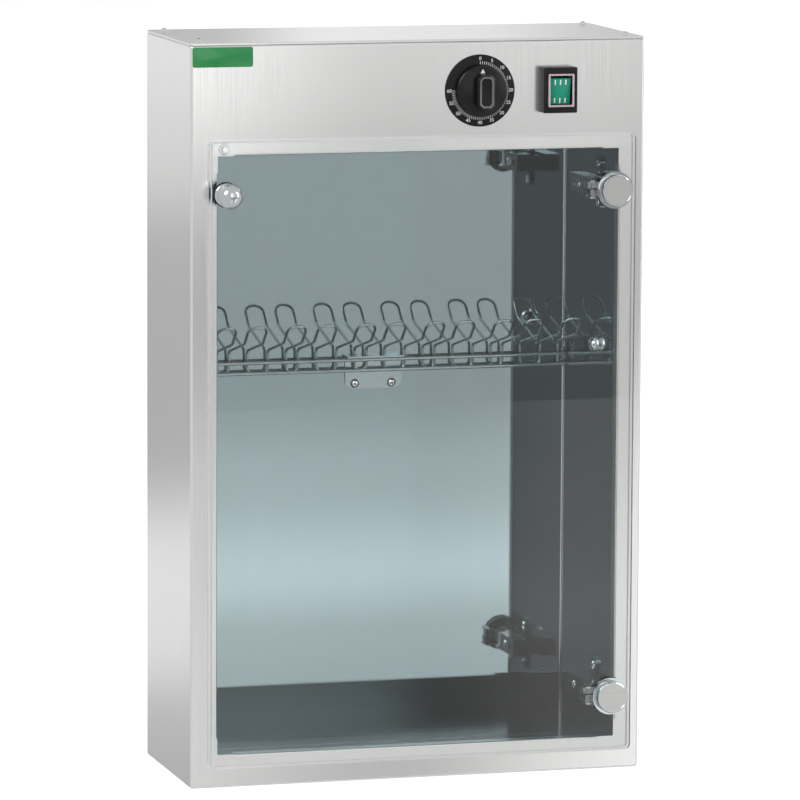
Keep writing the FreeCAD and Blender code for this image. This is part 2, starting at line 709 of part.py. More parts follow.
def terminal_block():
    """Return the three-way supply terminal with its screw wells and wire entries."""
    width, depth, height = TERMINAL_BLOCK
    block = box(TERMINAL_X - width / 2, TERMINAL_X + width / 2, TERMINAL_Y - depth / 2,
                TERMINAL_Y + depth / 2, SHELF_TOP, SHELF_TOP + height)
    holes = []
    for step in (-1, 0, 1):
        x = TERMINAL_X + step * TERMINAL_PITCH
        holes.append(rod(x, TERMINAL_Y, SHELF_TOP + height * 0.6, 2.4, height, Z_AXIS))
        holes.append(rod(x, TERMINAL_Y - depth, SHELF_TOP + height / 4, WIRE_INSULATION_R + FIT, 2 * depth,
                         Y_AXIS))
    return cut(block, holes)


def hexagon(radius, length):
    """Return a hexagonal prism along +Z from the origin."""
    corners = [V(radius * math.cos(math.radians(60 * step)), radius * math.sin(math.radians(60 * step)), 0)
               for step in range(6)]
    return prism(corners, V(0, 0, length))


def placed(shape, origin, axis):
    """Place a shape made along +Z at an origin, along an axis."""
    shape.Placement = FreeCAD.Placement(origin, FreeCAD.Rotation(Z_AXIS, axis))
    return shape


def earth_stud():
    """Return the earth stud that stands on the shelf, and its nut."""
    shank = rod(EARTH_X, EARTH_Y, SHELF_Z - 1.5, EARTH_STUD_R, EARTH_STUD_H, Z_AXIS)
    head = placed(hexagon(EARTH_NUT_R, 1.5), V(EARTH_X, EARTH_Y, SHELF_Z - 1.5), Z_AXIS)
    nut = placed(hexagon(EARTH_NUT_R, EARTH_NUT_H), V(EARTH_X, EARTH_Y, SHELF_TOP), Z_AXIS)
    nut = nut.cut(rod(EARTH_X, EARTH_Y, SHELF_TOP - 1, EARTH_STUD_R + SCREW_PLAY, EARTH_NUT_H + 2, Z_AXIS))
    return group([fuse([shank, head]), nut])


def cable_gland():
    """Return the gland body outside the right wall, with its cable bore."""
    origin = V(HALF_W, GLAND_Y, GLAND_Z)
    out = X_AXIS
    flange = placed(hexagon(GLAND_HEX_R, GLAND_HEX_T), origin, out)
    thread = rod(HALF_W - SHEET - GLAND_THREAD_L, GLAND_Y, GLAND_Z, GLAND_THREAD_R,
                 SHEET + GLAND_THREAD_L, out)
    dome = turned([(0, 0), (GLAND_DOME_R, 0), (GLAND_DOME_R, GLAND_DOME_L * 0.6), (GLAND_BORE_R * 1.5,
                                                                                   GLAND_DOME_L),
                   (0, GLAND_DOME_L)], V(HALF_W + GLAND_HEX_T, GLAND_Y, GLAND_Z), out)
    bore = rod(HALF_W - SHEET - GLAND_THREAD_L - 1, GLAND_Y, GLAND_Z, GLAND_BORE_R,
               GLAND_THREAD_L + SHEET + GLAND_HEX_T + GLAND_DOME_L + 2, out)
    return cut(fuse([thread, flange, dome]), [bore])


def gland_locknut():
    """Return the locknut inside the right wall."""
    start = HALF_W - SHEET - GLAND_NUT_T
    nut = placed(hexagon(GLAND_HEX_R, GLAND_NUT_T), V(start, GLAND_Y, GLAND_Z), X_AXIS)
    return nut.cut(rod(start - 1, GLAND_Y, GLAND_Z, GLAND_THREAD_R + SCREW_PLAY, GLAND_NUT_T + 2, X_AXIS))


def timer_body():
    """Return the timer's case with its threaded bush, behind the fascia."""
    inside = FRONT + SHEET
    case = centred_box(TIMER_BODY, TIMER_X, inside + FIT, CONTROLS_Z)
    case = case.makeFillet(BEND, edges_along(case, Y_AXIS))
    bush_end = FRONT - DIAL_T - TIMER_NUT_T
    bush = rod(TIMER_X, bush_end, CONTROLS_Z, TIMER_BUSH_R, inside + 5 - bush_end, Y_AXIS)
    bore = rod(TIMER_X, bush_end - 1, CONTROLS_Z, SHAFT_R + SHAFT_PLAY, inside + SHAFT_WELL + 1 - bush_end,
               Y_AXIS)
    return cut(fuse([case, bush]), [bore])


def timer_dial_plate():
    """Return the round dial plate on the fascia."""
    plate = rod(TIMER_X, FRONT - DIAL_T, CONTROLS_Z, DIAL_R, DIAL_T, Y_AXIS)
    plate = plate.makeFillet(DIAL_T * 0.4,
                             [edge for edge in plate.Edges if edge.CenterOfMass.y < FRONT - DIAL_T / 2
                                            and isinstance(edge.Curve, Part.Circle)])
    return plate.cut(rod(TIMER_X, FRONT - DIAL_T - 1, CONTROLS_Z, TIMER_BUSH_R + SCREW_PLAY, DIAL_T + 2,
                         Y_AXIS))


def timer_nut():
    """Return the nut that clamps the timer's bush over the dial plate."""
    start = V(TIMER_X, FRONT - DIAL_T - TIMER_NUT_T, CONTROLS_Z)
    nut = placed(hexagon(TIMER_NUT_R, TIMER_NUT_T), start, Y_AXIS)
    return nut.cut(rod(start.x, start.y - 1, start.z, TIMER_BUSH_R + SCREW_PLAY, TIMER_NUT_T + 2, Y_AXIS))


def skirt_rear():
    """Return where the timer knob's rear edge lies, in Y."""
    return FRONT - DIAL_T - KNOB_SKIRT_GAP


def timer_knob():
    """Return the knob: a skirt, hollow over the nut, with an eight-sided grip bar."""
    rear = skirt_rear()
    face = rear - KNOB_SKIRT_T
    skirt = rod(TIMER_X, face, CONTROLS_Z, KNOB_SKIRT_R, KNOB_SKIRT_T, Y_AXIS)
    skirt = skirt.makeFillet(SHEET, [edge for edge in skirt.Edges if edge.CenterOfMass.y < face + 1
                                     and isinstance(edge.Curve, Part.Circle)])
    half_w = GRIP_W / 2
    half_l = GRIP_L / 2
    corner = half_w / 2
    outline = [(-half_w, -half_l + corner), (-half_w + corner, -half_l), (half_w - corner, -half_l),
               (half_w, -half_l + corner), (half_w, half_l - corner), (half_w - corner, half_l),
               (-half_w + corner, half_l), (-half_w, half_l - corner)]
    grip = prism([V(TIMER_X + x, face - GRIP_H, CONTROLS_Z + z) for x, z in outline], V(0, GRIP_H + 1, 0))
    front_edges = [edge for edge in grip.Edges if abs(edge.CenterOfMass.y - face + GRIP_H) < 1e-6]
    grip = grip.makeChamfer(GRIP_BEVEL, front_edges)
    recess = rod(TIMER_X, rear - KNOB_RECESS_DEPTH, CONTROLS_Z, TIMER_NUT_R + KNOB_RECESS_ROOM,
                 KNOB_RECESS_DEPTH + 1, Y_AXIS)
    bore = rod(TIMER_X, face - GRIP_H / 2, CONTROLS_Z, SHAFT_R, KNOB_SKIRT_T + GRIP_H, Y_AXIS)
    return cut(fuse([skirt, grip]), [recess, bore])


def timer_shaft():
    """Return the shaft from the timer's works into the knob."""
    start = skirt_rear() - KNOB_SKIRT_T - GRIP_H / 2
    return rod(TIMER_X, start, CONTROLS_Z, SHAFT_R, FRONT + SHEET + SHAFT_REACH - start, Y_AXIS)


def rocker_pivot():
    """Return the rocker's pivot as a Y and Z pair."""
    return FRONT - BEZEL[1] + ROCKER_PIVOT_Y + ROCKER_R / 2, CONTROLS_Z


def switch_housing():
    """Return the switch's deep bezel and its rear body, with the rocker's well."""
    bezel = centred_box(BEZEL, SWITCH_X, FRONT - BEZEL[1], CONTROLS_Z)
    bezel = bezel.makeFillet(BEZEL_ROUND, edges_along(bezel, Y_AXIS))
    front_edges = [edge for edge in bezel.Edges if edge.CenterOfMass.y < FRONT - BEZEL[1] + 1e-6]
    bezel = bezel.makeFillet(BEZEL_ROUND / 2, front_edges)
    body = centred_box(SWITCH_BODY, SWITCH_X, FRONT, CONTROLS_Z)
    well = centred_box((SWITCH_WINDOW[0], BEZEL[1] + 1 + SWITCH_WELL_BEHIND_FACE, SWITCH_WINDOW[1]), SWITCH_X,
                       FRONT - BEZEL[1] - 1, CONTROLS_Z)
    seat = centred_box((COVER_RIM[0] + FIT, COVER_T, COVER_RIM[1] + FIT), SWITCH_X, FRONT - BEZEL[1],
                       CONTROLS_Z)
    pivot_y, pivot_z = rocker_pivot()
    pin_hole = rod(SWITCH_X - SWITCH_BODY[0] / 2, pivot_y, pivot_z, ROCKER_PIN_R + SCREW_PLAY,
                   SWITCH_BODY[0], X_AXIS)
    tabs = []
    for step_x in (-1, 1):
        for step_z in (-1, 1):
            tabs.append(centred_box((TERMINAL_TAB[2], TERMINAL_TAB[1] + 1, TERMINAL_TAB[0]),
                                    SWITCH_X + step_x * SWITCH_BODY[0] / 4, FRONT + SWITCH_BODY[1] - 1,
                                    CONTROLS_Z + step_z * SWITCH_BODY[2] / 4))
    return cut(fuse([bezel, body] + tabs), [well, seat, pin_hole])


def switch_rocker():
    """Return the rocker: a shallow saddle on a pivot pin, tilted to its off position."""
    pivot_y, pivot_z = rocker_pivot()
    width = SWITCH_WINDOW[0] - 2 * ROCKER_PLAY
    half_z = SWITCH_WINDOW[1] / 2 - 4 * ROCKER_PLAY
    face = FRONT - BEZEL[1] + ROCKER_PIVOT_Y - 1.0
    x0 = SWITCH_X - width / 2
    ends = face - 0.8
    outline = [V(x0, ends, pivot_z - half_z), V(x0, face, pivot_z), V(x0, ends, pivot_z + half_z),
               V(x0, pivot_y - 1.5, pivot_z + half_z), V(x0, pivot_y + 2.5, pivot_z + half_z / 3),
               V(x0, pivot_y + 2.5, pivot_z - half_z / 3), V(x0, pivot_y - 1.5, pivot_z - half_z)]
    body = prism(outline, V(width, 0, 0))
    pin = rod(SWITCH_X - SWITCH_BODY[0] / 2 + 0.2, pivot_y, pivot_z, ROCKER_PIN_R, SWITCH_BODY[0] - 0.4,
              X_AXIS)
    rocker = fuse([body, pin])
    rocker.rotate(V(SWITCH_X, pivot_y, pivot_z), X_AXIS, ROCKER_TILT)
    return rocker


def switch_cover():
    """Return the clear splash cover round and over the rocker."""
    front_y = FRONT - BEZEL[1]
    flange = centred_box((COVER_RIM[0], COVER_T, COVER_RIM[1]), SWITCH_X, front_y, CONTROLS_Z)
    dome = centred_box((SWITCH_WINDOW[0] + 2.6, COVER_PROUD, SWITCH_WINDOW[1] + 2.4), SWITCH_X,
                       front_y - COVER_PROUD, CONTROLS_Z)
    dome = dome.makeFillet(COVER_T, edges_along(dome, Y_AXIS))
    hollow = centred_box((SWITCH_WINDOW[0] - 0.2, COVER_PROUD + COVER_T, SWITCH_WINDOW[1] - 0.2), SWITCH_X,
                         front_y - COVER_PROUD + COVER_T, CONTROLS_Z)
    return cut(fuse([flange, dome]), [hollow])


def label_plate():
    """Return the plain label plate at the top left of the fascia."""
    low_x = -HALF_W + LABEL_INSET
    high_z = BODY_TOP - LABEL_INSET
    return rounded_box((low_x, low_x + LABEL[0], FRONT - LABEL[1], FRONT, high_z - LABEL[2], high_z),
                       LABEL_R, Y_AXIS)


def door_switch_body():
    """Return the safety switch behind the fascia, with its plunger well."""
    width, depth, height = MICRO_BODY
    body = centred_box((width, depth, height), PLUNGER_X, FRONT + SHEET + BUSH_L,
                       PLUNGER_Z + height / 2 - BUSH_R)
    well = rod(PLUNGER_X, FRONT + SHEET + BUSH_L - 1, PLUNGER_Z, PLUNGER_R + PLUNGER_PLAY,
               1 + 2.5 * PLUNGER_TRAVEL, Y_AXIS)
    return body.cut(well)


def door_switch_bush():
    """Return the chromed bush through the fascia that guides the plunger."""
    start = FRONT - BUSH_PROUD
    barrel = rod(PLUNGER_X, FRONT, PLUNGER_Z, BUSH_R, SHEET + BUSH_L, Y_AXIS)
    rim = rod(PLUNGER_X, start, PLUNGER_Z, BUSH_R + BUSH_RIM, BUSH_PROUD, Y_AXIS)
    bore = rod(PLUNGER_X, start - 1, PLUNGER_Z, PLUNGER_R + PLUNGER_PLAY, BUSH_PROUD + SHEET + BUSH_L + 2,
               Y_AXIS)
    return cut(fuse([barrel, rim]), [bore])


def door_switch_plunger():
    """Return the slotted plunger that the closed door holds in."""
    start = DOOR_REAR + PLUNGER_DOOR_GAP
    pin = rod(PLUNGER_X, start, PLUNGER_Z, PLUNGER_R, FRONT + SHEET + BUSH_L - start, Y_AXIS)
    slot = box(PLUNGER_X - PLUNGER_R, PLUNGER_X + PLUNGER_R, start - 1, start + PLUNGER_SLOT,
               PLUNGER_Z - PLUNGER_SLOT / 2, PLUNGER_Z + PLUNGER_SLOT / 2)
    slot.rotate(V(PLUNGER_X, start, PLUNGER_Z), Y_AXIS, -45)
    return pin.cut(slot)


def door_panel():
    """Return the clear door with its knob hole and the two cup holes."""
    panel = box(DOOR_LEFT, DOOR_RIGHT, DOOR_FACE, DOOR_REAR, DOOR_BOTTOM, DOOR_TOP)
    panel = panel.makeFillet(DOOR_CORNER_R, edges_along(panel, Y_AXIS))
    rims = [edge for edge in panel.Edges if abs(abs(edge.CenterOfMass.y - (DOOR_FACE + DOOR_REAR) / 2)
                                                - DOOR_THICK / 2) < 1e-6]
    panel = panel.makeFillet(DOOR_EDGE_ROUND, rims)
    holes = [rod(KNOB_X, DOOR_FACE - 1, KNOB_Z, KNOB_SCREW_R + FIT, DOOR_THICK + 2, Y_AXIS)]
    for hinge_z in HINGES.values():
        holes.append(rod(CUP_X, DOOR_FACE - 1, hinge_z, CUP_R + FIT / 2, DOOR_THICK + 2, Y_AXIS))
    return cut(panel, holes)


def knob_seal():
    """Return the soft washer between the knob and the door."""
    ring = rod(KNOB_X, DOOR_FACE - KNOB_SEAL_T, KNOB_Z, KNOB_SEAL_R, KNOB_SEAL_T, Y_AXIS)
    return ring.cut(rod(KNOB_X, DOOR_FACE - KNOB_SEAL_T - 1, KNOB_Z, KNOB_SCREW_R + FIT, KNOB_SEAL_T + 2,
                        Y_AXIS))


def door_knob():
    """Return the turned knob: base flange, neck and flattened ball."""
    base = V(KNOB_X, DOOR_FACE - KNOB_SEAL_T, KNOB_Z)
    out = V(0, -1, 0)
    centre = KNOB_BASE_T + KNOB_NECK_L + KNOB_BALL_FLAT * 0.75
    ball = Part.makeSphere(KNOB_BALL_R, V(0, 0, 0))
    squeeze = FreeCAD.Matrix()
    squeeze.scale(1, 1, KNOB_BALL_FLAT / KNOB_BALL_R)
    ball = ball.transformGeometry(squeeze)
    ball.translate(V(0, 0, centre))
    flange = Part.makeCylinder(KNOB_BASE_R, KNOB_BASE_T)
    flange = flange.makeFillet(SHEET * 0.9,
                               [edge for edge in flange.Edges if edge.CenterOfMass.z > KNOB_BASE_T - 1e-6])
    neck = Part.makeCylinder(KNOB_NECK_R, centre)
    bore = Part.makeCylinder(KNOB_SCREW_R, KNOB_SCREW_REACH - KNOB_SEAL_T - DOOR_THICK + KNOB_SCREW_ROOM)
    return placed(fuse([flange, neck, ball]).cut(bore), base, out)


def knob_screw():
    """Return the screw that holds the knob from behind the door."""
    head = rod(KNOB_X, DOOR_REAR, KNOB_Z, KNOB_SCREW_HEAD_R, KNOB_SCREW_HEAD_T, Y_AXIS)
    head = head.makeFillet(SHEET, [edge for edge in head.Edges if edge.CenterOfMass.y > DOOR_REAR + 1
                                   and isinstance(edge.Curve, Part.Circle)])
    length = DOOR_THICK + KNOB_SEAL_T + KNOB_SCREW_REACH - KNOB_SEAL_T
    shank = rod(KNOB_X, DOOR_REAR, KNOB_Z, KNOB_SCREW_R, length, V(0, -1, 0))
    return fuse([head, shank])


def hinge_point(pivot, z):
    """Return a pivot's place in the cabinet for a hinge at height z."""
    return V(OPENING_X + pivot[0], FRONT + pivot[1], z)


def hinge_cup(z):
    """Return the cup in the door, with its link pocket and front ring."""
    barrel = rod(CUP_X, DOOR_REAR - CUP_DEPTH, z, CUP_R, CUP_DEPTH, Y_AXIS)
    ring_face = DOOR_FACE - CUP_SEAL_T
    ring = rod(CUP_X, ring_face - CUP_RING_T, z, CUP_RING_R, CUP_RING_T, Y_AXIS)
    over_cap = rod(CUP_X, DOOR_REAR - CUP_DEPTH - 1, z, CUP_RING_R, CUP_DEPTH, Y_AXIS)
    over_cap = over_cap.cut(rod(CUP_X, DOOR_REAR - CUP_DEPTH - 2, z, CAP_R - CAP_WALL - FIT, CUP_DEPTH + 4,
                                Y_AXIS))
    over_cap.translate(V(0, ring_face - CUP_RING_T - (DOOR_REAR - 1), 0))
    pocket = box(OPENING_X + CUP_POCKET_X[0], OPENING_X + CUP_POCKET_X[1], DOOR_REAR - CUP_DEPTH + CUP_FLOOR,
                 DOOR_REAR + 1, z - CUP_POCKET_HALF_Z, z + CUP_POCKET_HALF_Z)
    holes = [pocket]
    for pivot, side, radius in ((OUTER_CUP_PIVOT, 1, HINGE_PIN_R), (INNER_CUP_PIVOT, -1, INNER_PIN_R)):
        point = hinge_point(pivot, z)
        holes.append(rod(point.x, point.y, z, radius, side_reach(), V(0, 0, side)))
    return cut(fuse([barrel.cut(over_cap), ring]), holes)


def side_reach():
    """Return how far a hinge pin runs from the hinge's middle into the cup or arm cheek."""
    return CUP_POCKET_HALF_Z + ARM_CHEEK_T


def cup_seal(z):
    """Return the black ring between the cup's front ring and the door."""
    ring = rod(CUP_X, DOOR_FACE - CUP_SEAL_T, z, CUP_SEAL_R, CUP_SEAL_T, Y_AXIS)
    return ring.cut(rod(CUP_X, DOOR_FACE - CUP_SEAL_T - 1, z, CUP_R + FIT / 2, CUP_SEAL_T + 2, Y_AXIS))


def hinge_cap(z):
    """Return the round cover snapped over the front of the cup."""
    base = DOOR_FACE - CUP_SEAL_T - CUP_RING_T
    cap = rod(CUP_X, base - CAP_H, z, CAP_R, CAP_H, Y_AXIS)
    cap = cap.makeChamfer(CAP_BEVEL, [edge for edge in cap.Edges if edge.CenterOfMass.y < base - CAP_H + 1e-6
                                      and isinstance(edge.Curve, Part.Circle)])
    return cap.cut(rod(CUP_X, base - CAP_H + CAP_WALL, z, CAP_R - CAP_WALL, CAP_H, Y_AXIS))


def link_outline(start, end, bow, clear_eye):
    """Return a bowed link's flat plan as joined bars and eyes, in the hinge's own plane."""
    along = V(end[0] - start[0], end[1] - start[1], 0)
    length = along.Length
    angle = math.degrees(math.atan2(along.y, along.x))
    start_at, end_at, back_at, bow_height = bow
    route = [(0, 0), (start_at, bow_height), (end_at, bow_height), (back_at, 0), (length, 0)]
    height = LINK_OUTER_Z - LINK_INNER_Z
    parts = []
    for (x0, y0), (x1, y1) in zip(route, route[1:]):
        bar_length = math.hypot(x1 - x0, y1 - y0)
        bar = Part.makeBox(bar_length, LINK_WIDTH, height, V(0, -LINK_WIDTH / 2, 0))
        heading = math.degrees(math.atan2(y1 - y0, x1 - x0))
        bar.Placement = FreeCAD.Placement(V(x0, y0, 0), FreeCAD.Rotation(Z_AXIS, heading))
        parts.append(bar)
        parts.append(Part.makeCylinder(LINK_WIDTH / 2, height, V(x1, y1, 0)))
    parts.append(Part.makeCylinder(clear_eye, height, V(0, 0, 0)))
    parts.append(Part.makeCylinder(HINGE_PIN_R + LINK_EYE_WALL, height, V(length, 0, 0)))
    link = fuse(parts)
    link.Placement = FreeCAD.Placement(V(start[0], start[1], 0), FreeCAD.Rotation(Z_AXIS, angle))
    return link


def outer_link(z):
    """Return the upper-half link, between the arm's rear pivot and the cup's shallow pivot."""
    link = link_outline(OUTER_CUP_PIVOT, OUTER_ARM_PIVOT, OUTER_LINK_BOW, HINGE_PIN_R + LINK_EYE_WALL)
    link = Part.Shape(link)
    link.translate(V(OPENING_X, FRONT, z + LINK_INNER_Z))
    holes = []
    for pivot in (OUTER_CUP_PIVOT, OUTER_ARM_PIVOT):
        point = hinge_point(pivot, z)
        holes.append(rod(point.x, point.y, z - 1, HINGE_PIN_R + PIN_PLAY, LINK_OUTER_Z + 2, Z_AXIS))
    return cut(link, holes)


def inner_link(z):
    """Return the lower-half link, whose cup eye is opened so that it clears its pin."""
    eye_hole = INNER_PIN_R + OPEN_PIVOT_PLAY
    link = link_outline(INNER_CUP_PIVOT, INNER_ARM_PIVOT, INNER_LINK_BOW, eye_hole + OPEN_EYE_WALL)
    link = Part.Shape(link)
    link.translate(V(OPENING_X, FRONT, z - LINK_OUTER_Z))
    cup_point = hinge_point(INNER_CUP_PIVOT, z)
    arm_point = hinge_point(INNER_ARM_PIVOT, z)
    holes = [rod(cup_point.x, cup_point.y, z - LINK_OUTER_Z - 1, eye_hole, LINK_OUTER_Z + 2, Z_AXIS),
             rod(arm_point.x, arm_point.y, z - LINK_OUTER_Z - 1, HINGE_PIN_R + PIN_PLAY, LINK_OUTER_Z + 2,
                 Z_AXIS)]
    return cut(link, holes)


def cup_pins():
    """Return the link pins that stay in the door's two cups."""
    pins = []
    for z in HINGES.values():
        outer = hinge_point(OUTER_CUP_PIVOT, z)
        inner = hinge_point(INNER_CUP_PIVOT, z)
        pins.append(rod(outer.x, outer.y, z, HINGE_PIN_R, side_reach(), Z_AXIS))
        pins.append(rod(inner.x, inner.y, z, INNER_PIN_R, side_reach(), V(0, 0, -1)))
    return group(pins)


def arm_pins():
    """Return the link pins that stay in the two hinge arms."""
    pins = []
    for z in HINGES.values():
        for pivot, side in ((OUTER_ARM_PIVOT, 1), (INNER_ARM_PIVOT, -1)):
            point = hinge_point(pivot, z)
            pins.append(rod(point.x, point.y, z, HINGE_PIN_R, ARM_HALF_Z, V(0, 0, side)))
    return group(pins)


def hinge_arm(z):
    """Return the channel-shaped arm with its forked nose and adjusting slot."""
    low = OPENING_X + ARM_X[0]
    high = OPENING_X + ARM_X[1]
    nose_x = OPENING_X + OUTER_ARM_PIVOT[0] - ARM_NOSE_R
    nose_y = FRONT + INNER_ARM_PIVOT[1] - ARM_NOSE_R
    back_y = FRONT + OUTER_ARM_PIVOT[1] + 2 * ARM_NOSE_R
    rear_y = FRONT + ARM_REAR_Y
    plan = [V(nose_x, nose_y, 0), V(nose_x + 2 * ARM_NOSE_R, nose_y, 0),
            V(nose_x + 2 * ARM_NOSE_R, back_y - ARM_NECK_CHAMFER, 0),
            V(high, back_y + ARM_NECK_INNER_L, 0), V(high, rear_y, 0), V(low, rear_y, 0),
            V(low, back_y + ARM_NECK_OUTER_L, 0), V(nose_x, back_y, 0)]
    block = prism(plan, V(0, 0, 2 * ARM_HALF_Z))
    block.translate(V(0, 0, z - ARM_HALF_Z))
    block = block.makeFillet(ARM_NOSE_R * 0.9, edges_along(block, Z_AXIS, lambda point: point.y < nose_y + 1))
    inner_z = ARM_HALF_Z - ARM_CHEEK_T
    fork = box(nose_x - 1, nose_x + 2 * ARM_NOSE_R + 1, nose_y - 1, back_y, z - inner_z, z + inner_z)
    channel = box(low + ARM_WALL, high + 1, back_y - 1, rear_y + 1, z - inner_z, z + inner_z)
    throat = box(nose_x + ARM_WALL, high + 1, back_y - 1, back_y + ARM_THROAT_L, z - inner_z, z + inner_z)
    slot = box(low - 1, low + ARM_WALL + 1, FRONT + PLATE_Y + ARM_SLOT_Y[0], FRONT + PLATE_Y + ARM_SLOT_Y[1],
               z - ARM_SLOT_W / 2, z + ARM_SLOT_W / 2)
    pins = []
    for pivot in (OUTER_ARM_PIVOT, INNER_ARM_PIVOT):
        point = hinge_point(pivot, z)
        pins.append(rod(point.x, point.y, z - ARM_HALF_Z - 1, HINGE_PIN_R, 2 * ARM_HALF_Z + 2, Z_AXIS))
    screw = rod(low - 1, FRONT + PLATE_Y, z, HINGE_SCREW_R + SCREW_PLAY, 4, X_AXIS)
    return cut(block, [fork, channel, throat, slot, screw] + pins)


def hinge_plate(z):
    """Return the cross-shaped mounting plate with the raised block that carries the arm."""
    face = LINER_X
    y = FRONT + PLATE_Y
    half_wing = PLATE_WING_W / 2
    wings = rounded_box((face - PLATE_T, face, y - half_wing, y + half_wing, z - PLATE_WING_REACH,
                         z + PLATE_WING_REACH), half_wing * 0.9, X_AXIS)
    inner_z = ARM_HALF_Z - ARM_CHEEK_T - FIT
    block = box(OPENING_X + ARM_X[0] + 1.6, face, y - PLATE_BLOCK_W / 2, y + PLATE_BLOCK_W / 2,
                z - inner_z, z + inner_z)
    holes = [rod(face - PLATE_T - 1, y, z + end * PLATE_SCREW_Z, HINGE_SCREW_R + SCREW_PLAY, PLATE_T + 2,
                 X_AXIS)
             for end in (-1, 1)]
    holes.append(rod(OPENING_X + ARM_X[0], y, z, HINGE_SCREW_R + SCREW_PLAY, HINGE_SCREW_L + 2, X_AXIS))
    return cut(fuse([wings, block]), holes)


def hinge_screws():
    """Return the six like screws: two hold each mounting plate and one clamps each arm."""
    screws = []
    for z in HINGES.values():
        for x, step in ((LINER_X - PLATE_T, -PLATE_SCREW_Z), (OPENING_X + ARM_X[0], 0),
                        (LINER_X - PLATE_T, PLATE_SCREW_Z)):
            screws.append(domed_screw(x, FRONT + PLATE_Y, z + step, HINGE_SCREW_R, HINGE_SCREW_HEAD_R,
                                      HINGE_SCREW_HEAD_T, HINGE_SCREW_L, V(-1, 0, 0)))
    return group(screws)


def rack_rails():
    """Return the rack's two straight rails."""
    length = 2 * (LINER_X - RAIL_END_GAP)
    return group([rod(-length / 2, RAIL_Y, z, RAIL_R, length, X_AXIS) for z in (RAIL_UPPER_Z, RAIL_LOWER_Z)])


def finger_x(index):
    """Return the middle of one finger loop: the loops stand in pairs."""
    return FINGER_FIRST_X + (index // 2) * FINGER_PAIR_SPACING + (index % 2) * FINGER_PAIR_GAP


def finger_points(index):
    """Return the corner points of one finger, from its left foot round its bow to its right foot."""
    x = finger_x(index)
    y = RAIL_Y + RAIL_R + WIRE_R
    knee = RAIL_UPPER_Z + FINGER_RISE
    half = FINGER_WIDTH / 2
    left = [V(x - half, y, RAIL_LOWER_Z), V(x - half, y, knee),
            V(x - half, y - FINGER_RUN, knee + FINGER_CLIMB),
            V(x - half, y - FINGER_RUN - FINGER_TIP_RUN, knee + FINGER_CLIMB + FINGER_TIP_CLIMB)]
    return left + [V(2 * x - point.x, point.y, point.z) for point in reversed(left)]


def rack_fingers():
    """Return the wire bent into every finger of the rack, in lengths that meet end to end.

    Each finger is a side, a bow and a side. A foot joins it to the next finger behind the rails.
    """
    points = []
    bends = []
    for index in range(FINGER_COUNT):
        points += finger_points(index)
        bends += [FOOT_BEND, KNEE_BEND, TIP_BEND, BOW_BEND, BOW_BEND, TIP_BEND, KNEE_BEND, FOOT_BEND]
    edges = wire_edges(points, bends[1:-1])
    lengths = []
    while edges:
        for count in (5, 3, 5, 3):
            lengths.append(edges[:count])
            edges = edges[count:]
    return group([tube_along(length, WIRE_R) for length in lengths if length])


def rack_bracket():
    """Return the bracket that holds the rails to the back wall."""
    left = BRACKET_X - BRACKET_W / 2
    right = BRACKET_X + BRACKET_W / 2
    flange_z = RAIL_UPPER_Z + RAIL_R
    plate = box(left, right, WALL_FACE - BRACKET_T, WALL_FACE, BRACKET_BOTTOM_Z, flange_z + BRACKET_T)
    plate = plate.makeFillet(BRACKET_CORNER, edges_along(plate, Y_AXIS,
                                                         lambda point: point.z < BRACKET_SCREW_Z))
    flange = box(left, right, RAIL_Y - RAIL_R, WALL_FACE, flange_z, flange_z + BRACKET_T)
    holes = [rod(x, WALL_FACE - BRACKET_T - 1, BRACKET_SCREW_Z, WALL_SCREW_R + SCREW_PLAY, BRACKET_T + 2,
                 Y_AXIS)
             for x in bracket_screw_places()]
    holes += finger_clearances(flange_z)
    return cut(fuse([plate, flange]), holes)


def finger_clearances(flange_z):
    """Return the notches in the bracket's flange that the finger wire passes through."""
    notches = []
    for index in range(FINGER_COUNT):
        for side in (-1, 1):
            x = finger_x(index) + side * FINGER_WIDTH / 2
            notches.append(box(x - 2 * WIRE_R, x + 2 * WIRE_R, RAIL_Y + RAIL_R - FIT, WALL_FACE - BRACKET_T,
                               flange_z - 1, flange_z + BRACKET_T + 1))
    return notches


def bracket_screw_places():
    """Return the X of each bracket screw."""
    return [BRACKET_X + side * BRACKET_SCREW_SPACING / 2 for side in (-1, 1)]


def bracket_screws():
    """Return the two domed screws of the rack bracket."""
    return group([domed_screw(x, WALL_FACE - BRACKET_T, BRACKET_SCREW_Z, WALL_SCREW_R, WALL_SCREW_HEAD_R,
                              WALL_SCREW_HEAD_H, BRACKET_T + LINER_SHEET, V(0, -1, 0))
                  for x in bracket_screw_places()])


def wire_hole_places():
    """Return the shelf's three wire holes: left holder, right holder and door switch."""
    x = LAMP_L / 2 + LAMP_CAP_L + HOLDER[0] + WIRE_LOOP_R + 2 * WIRE_INSULATION_R
    switch_y = FRONT + SHEET + BUSH_L + MICRO_BODY[1] / 2
    return [(-x, LAMP_Y), (x, LAMP_Y), (PLUNGER_X, switch_y)]


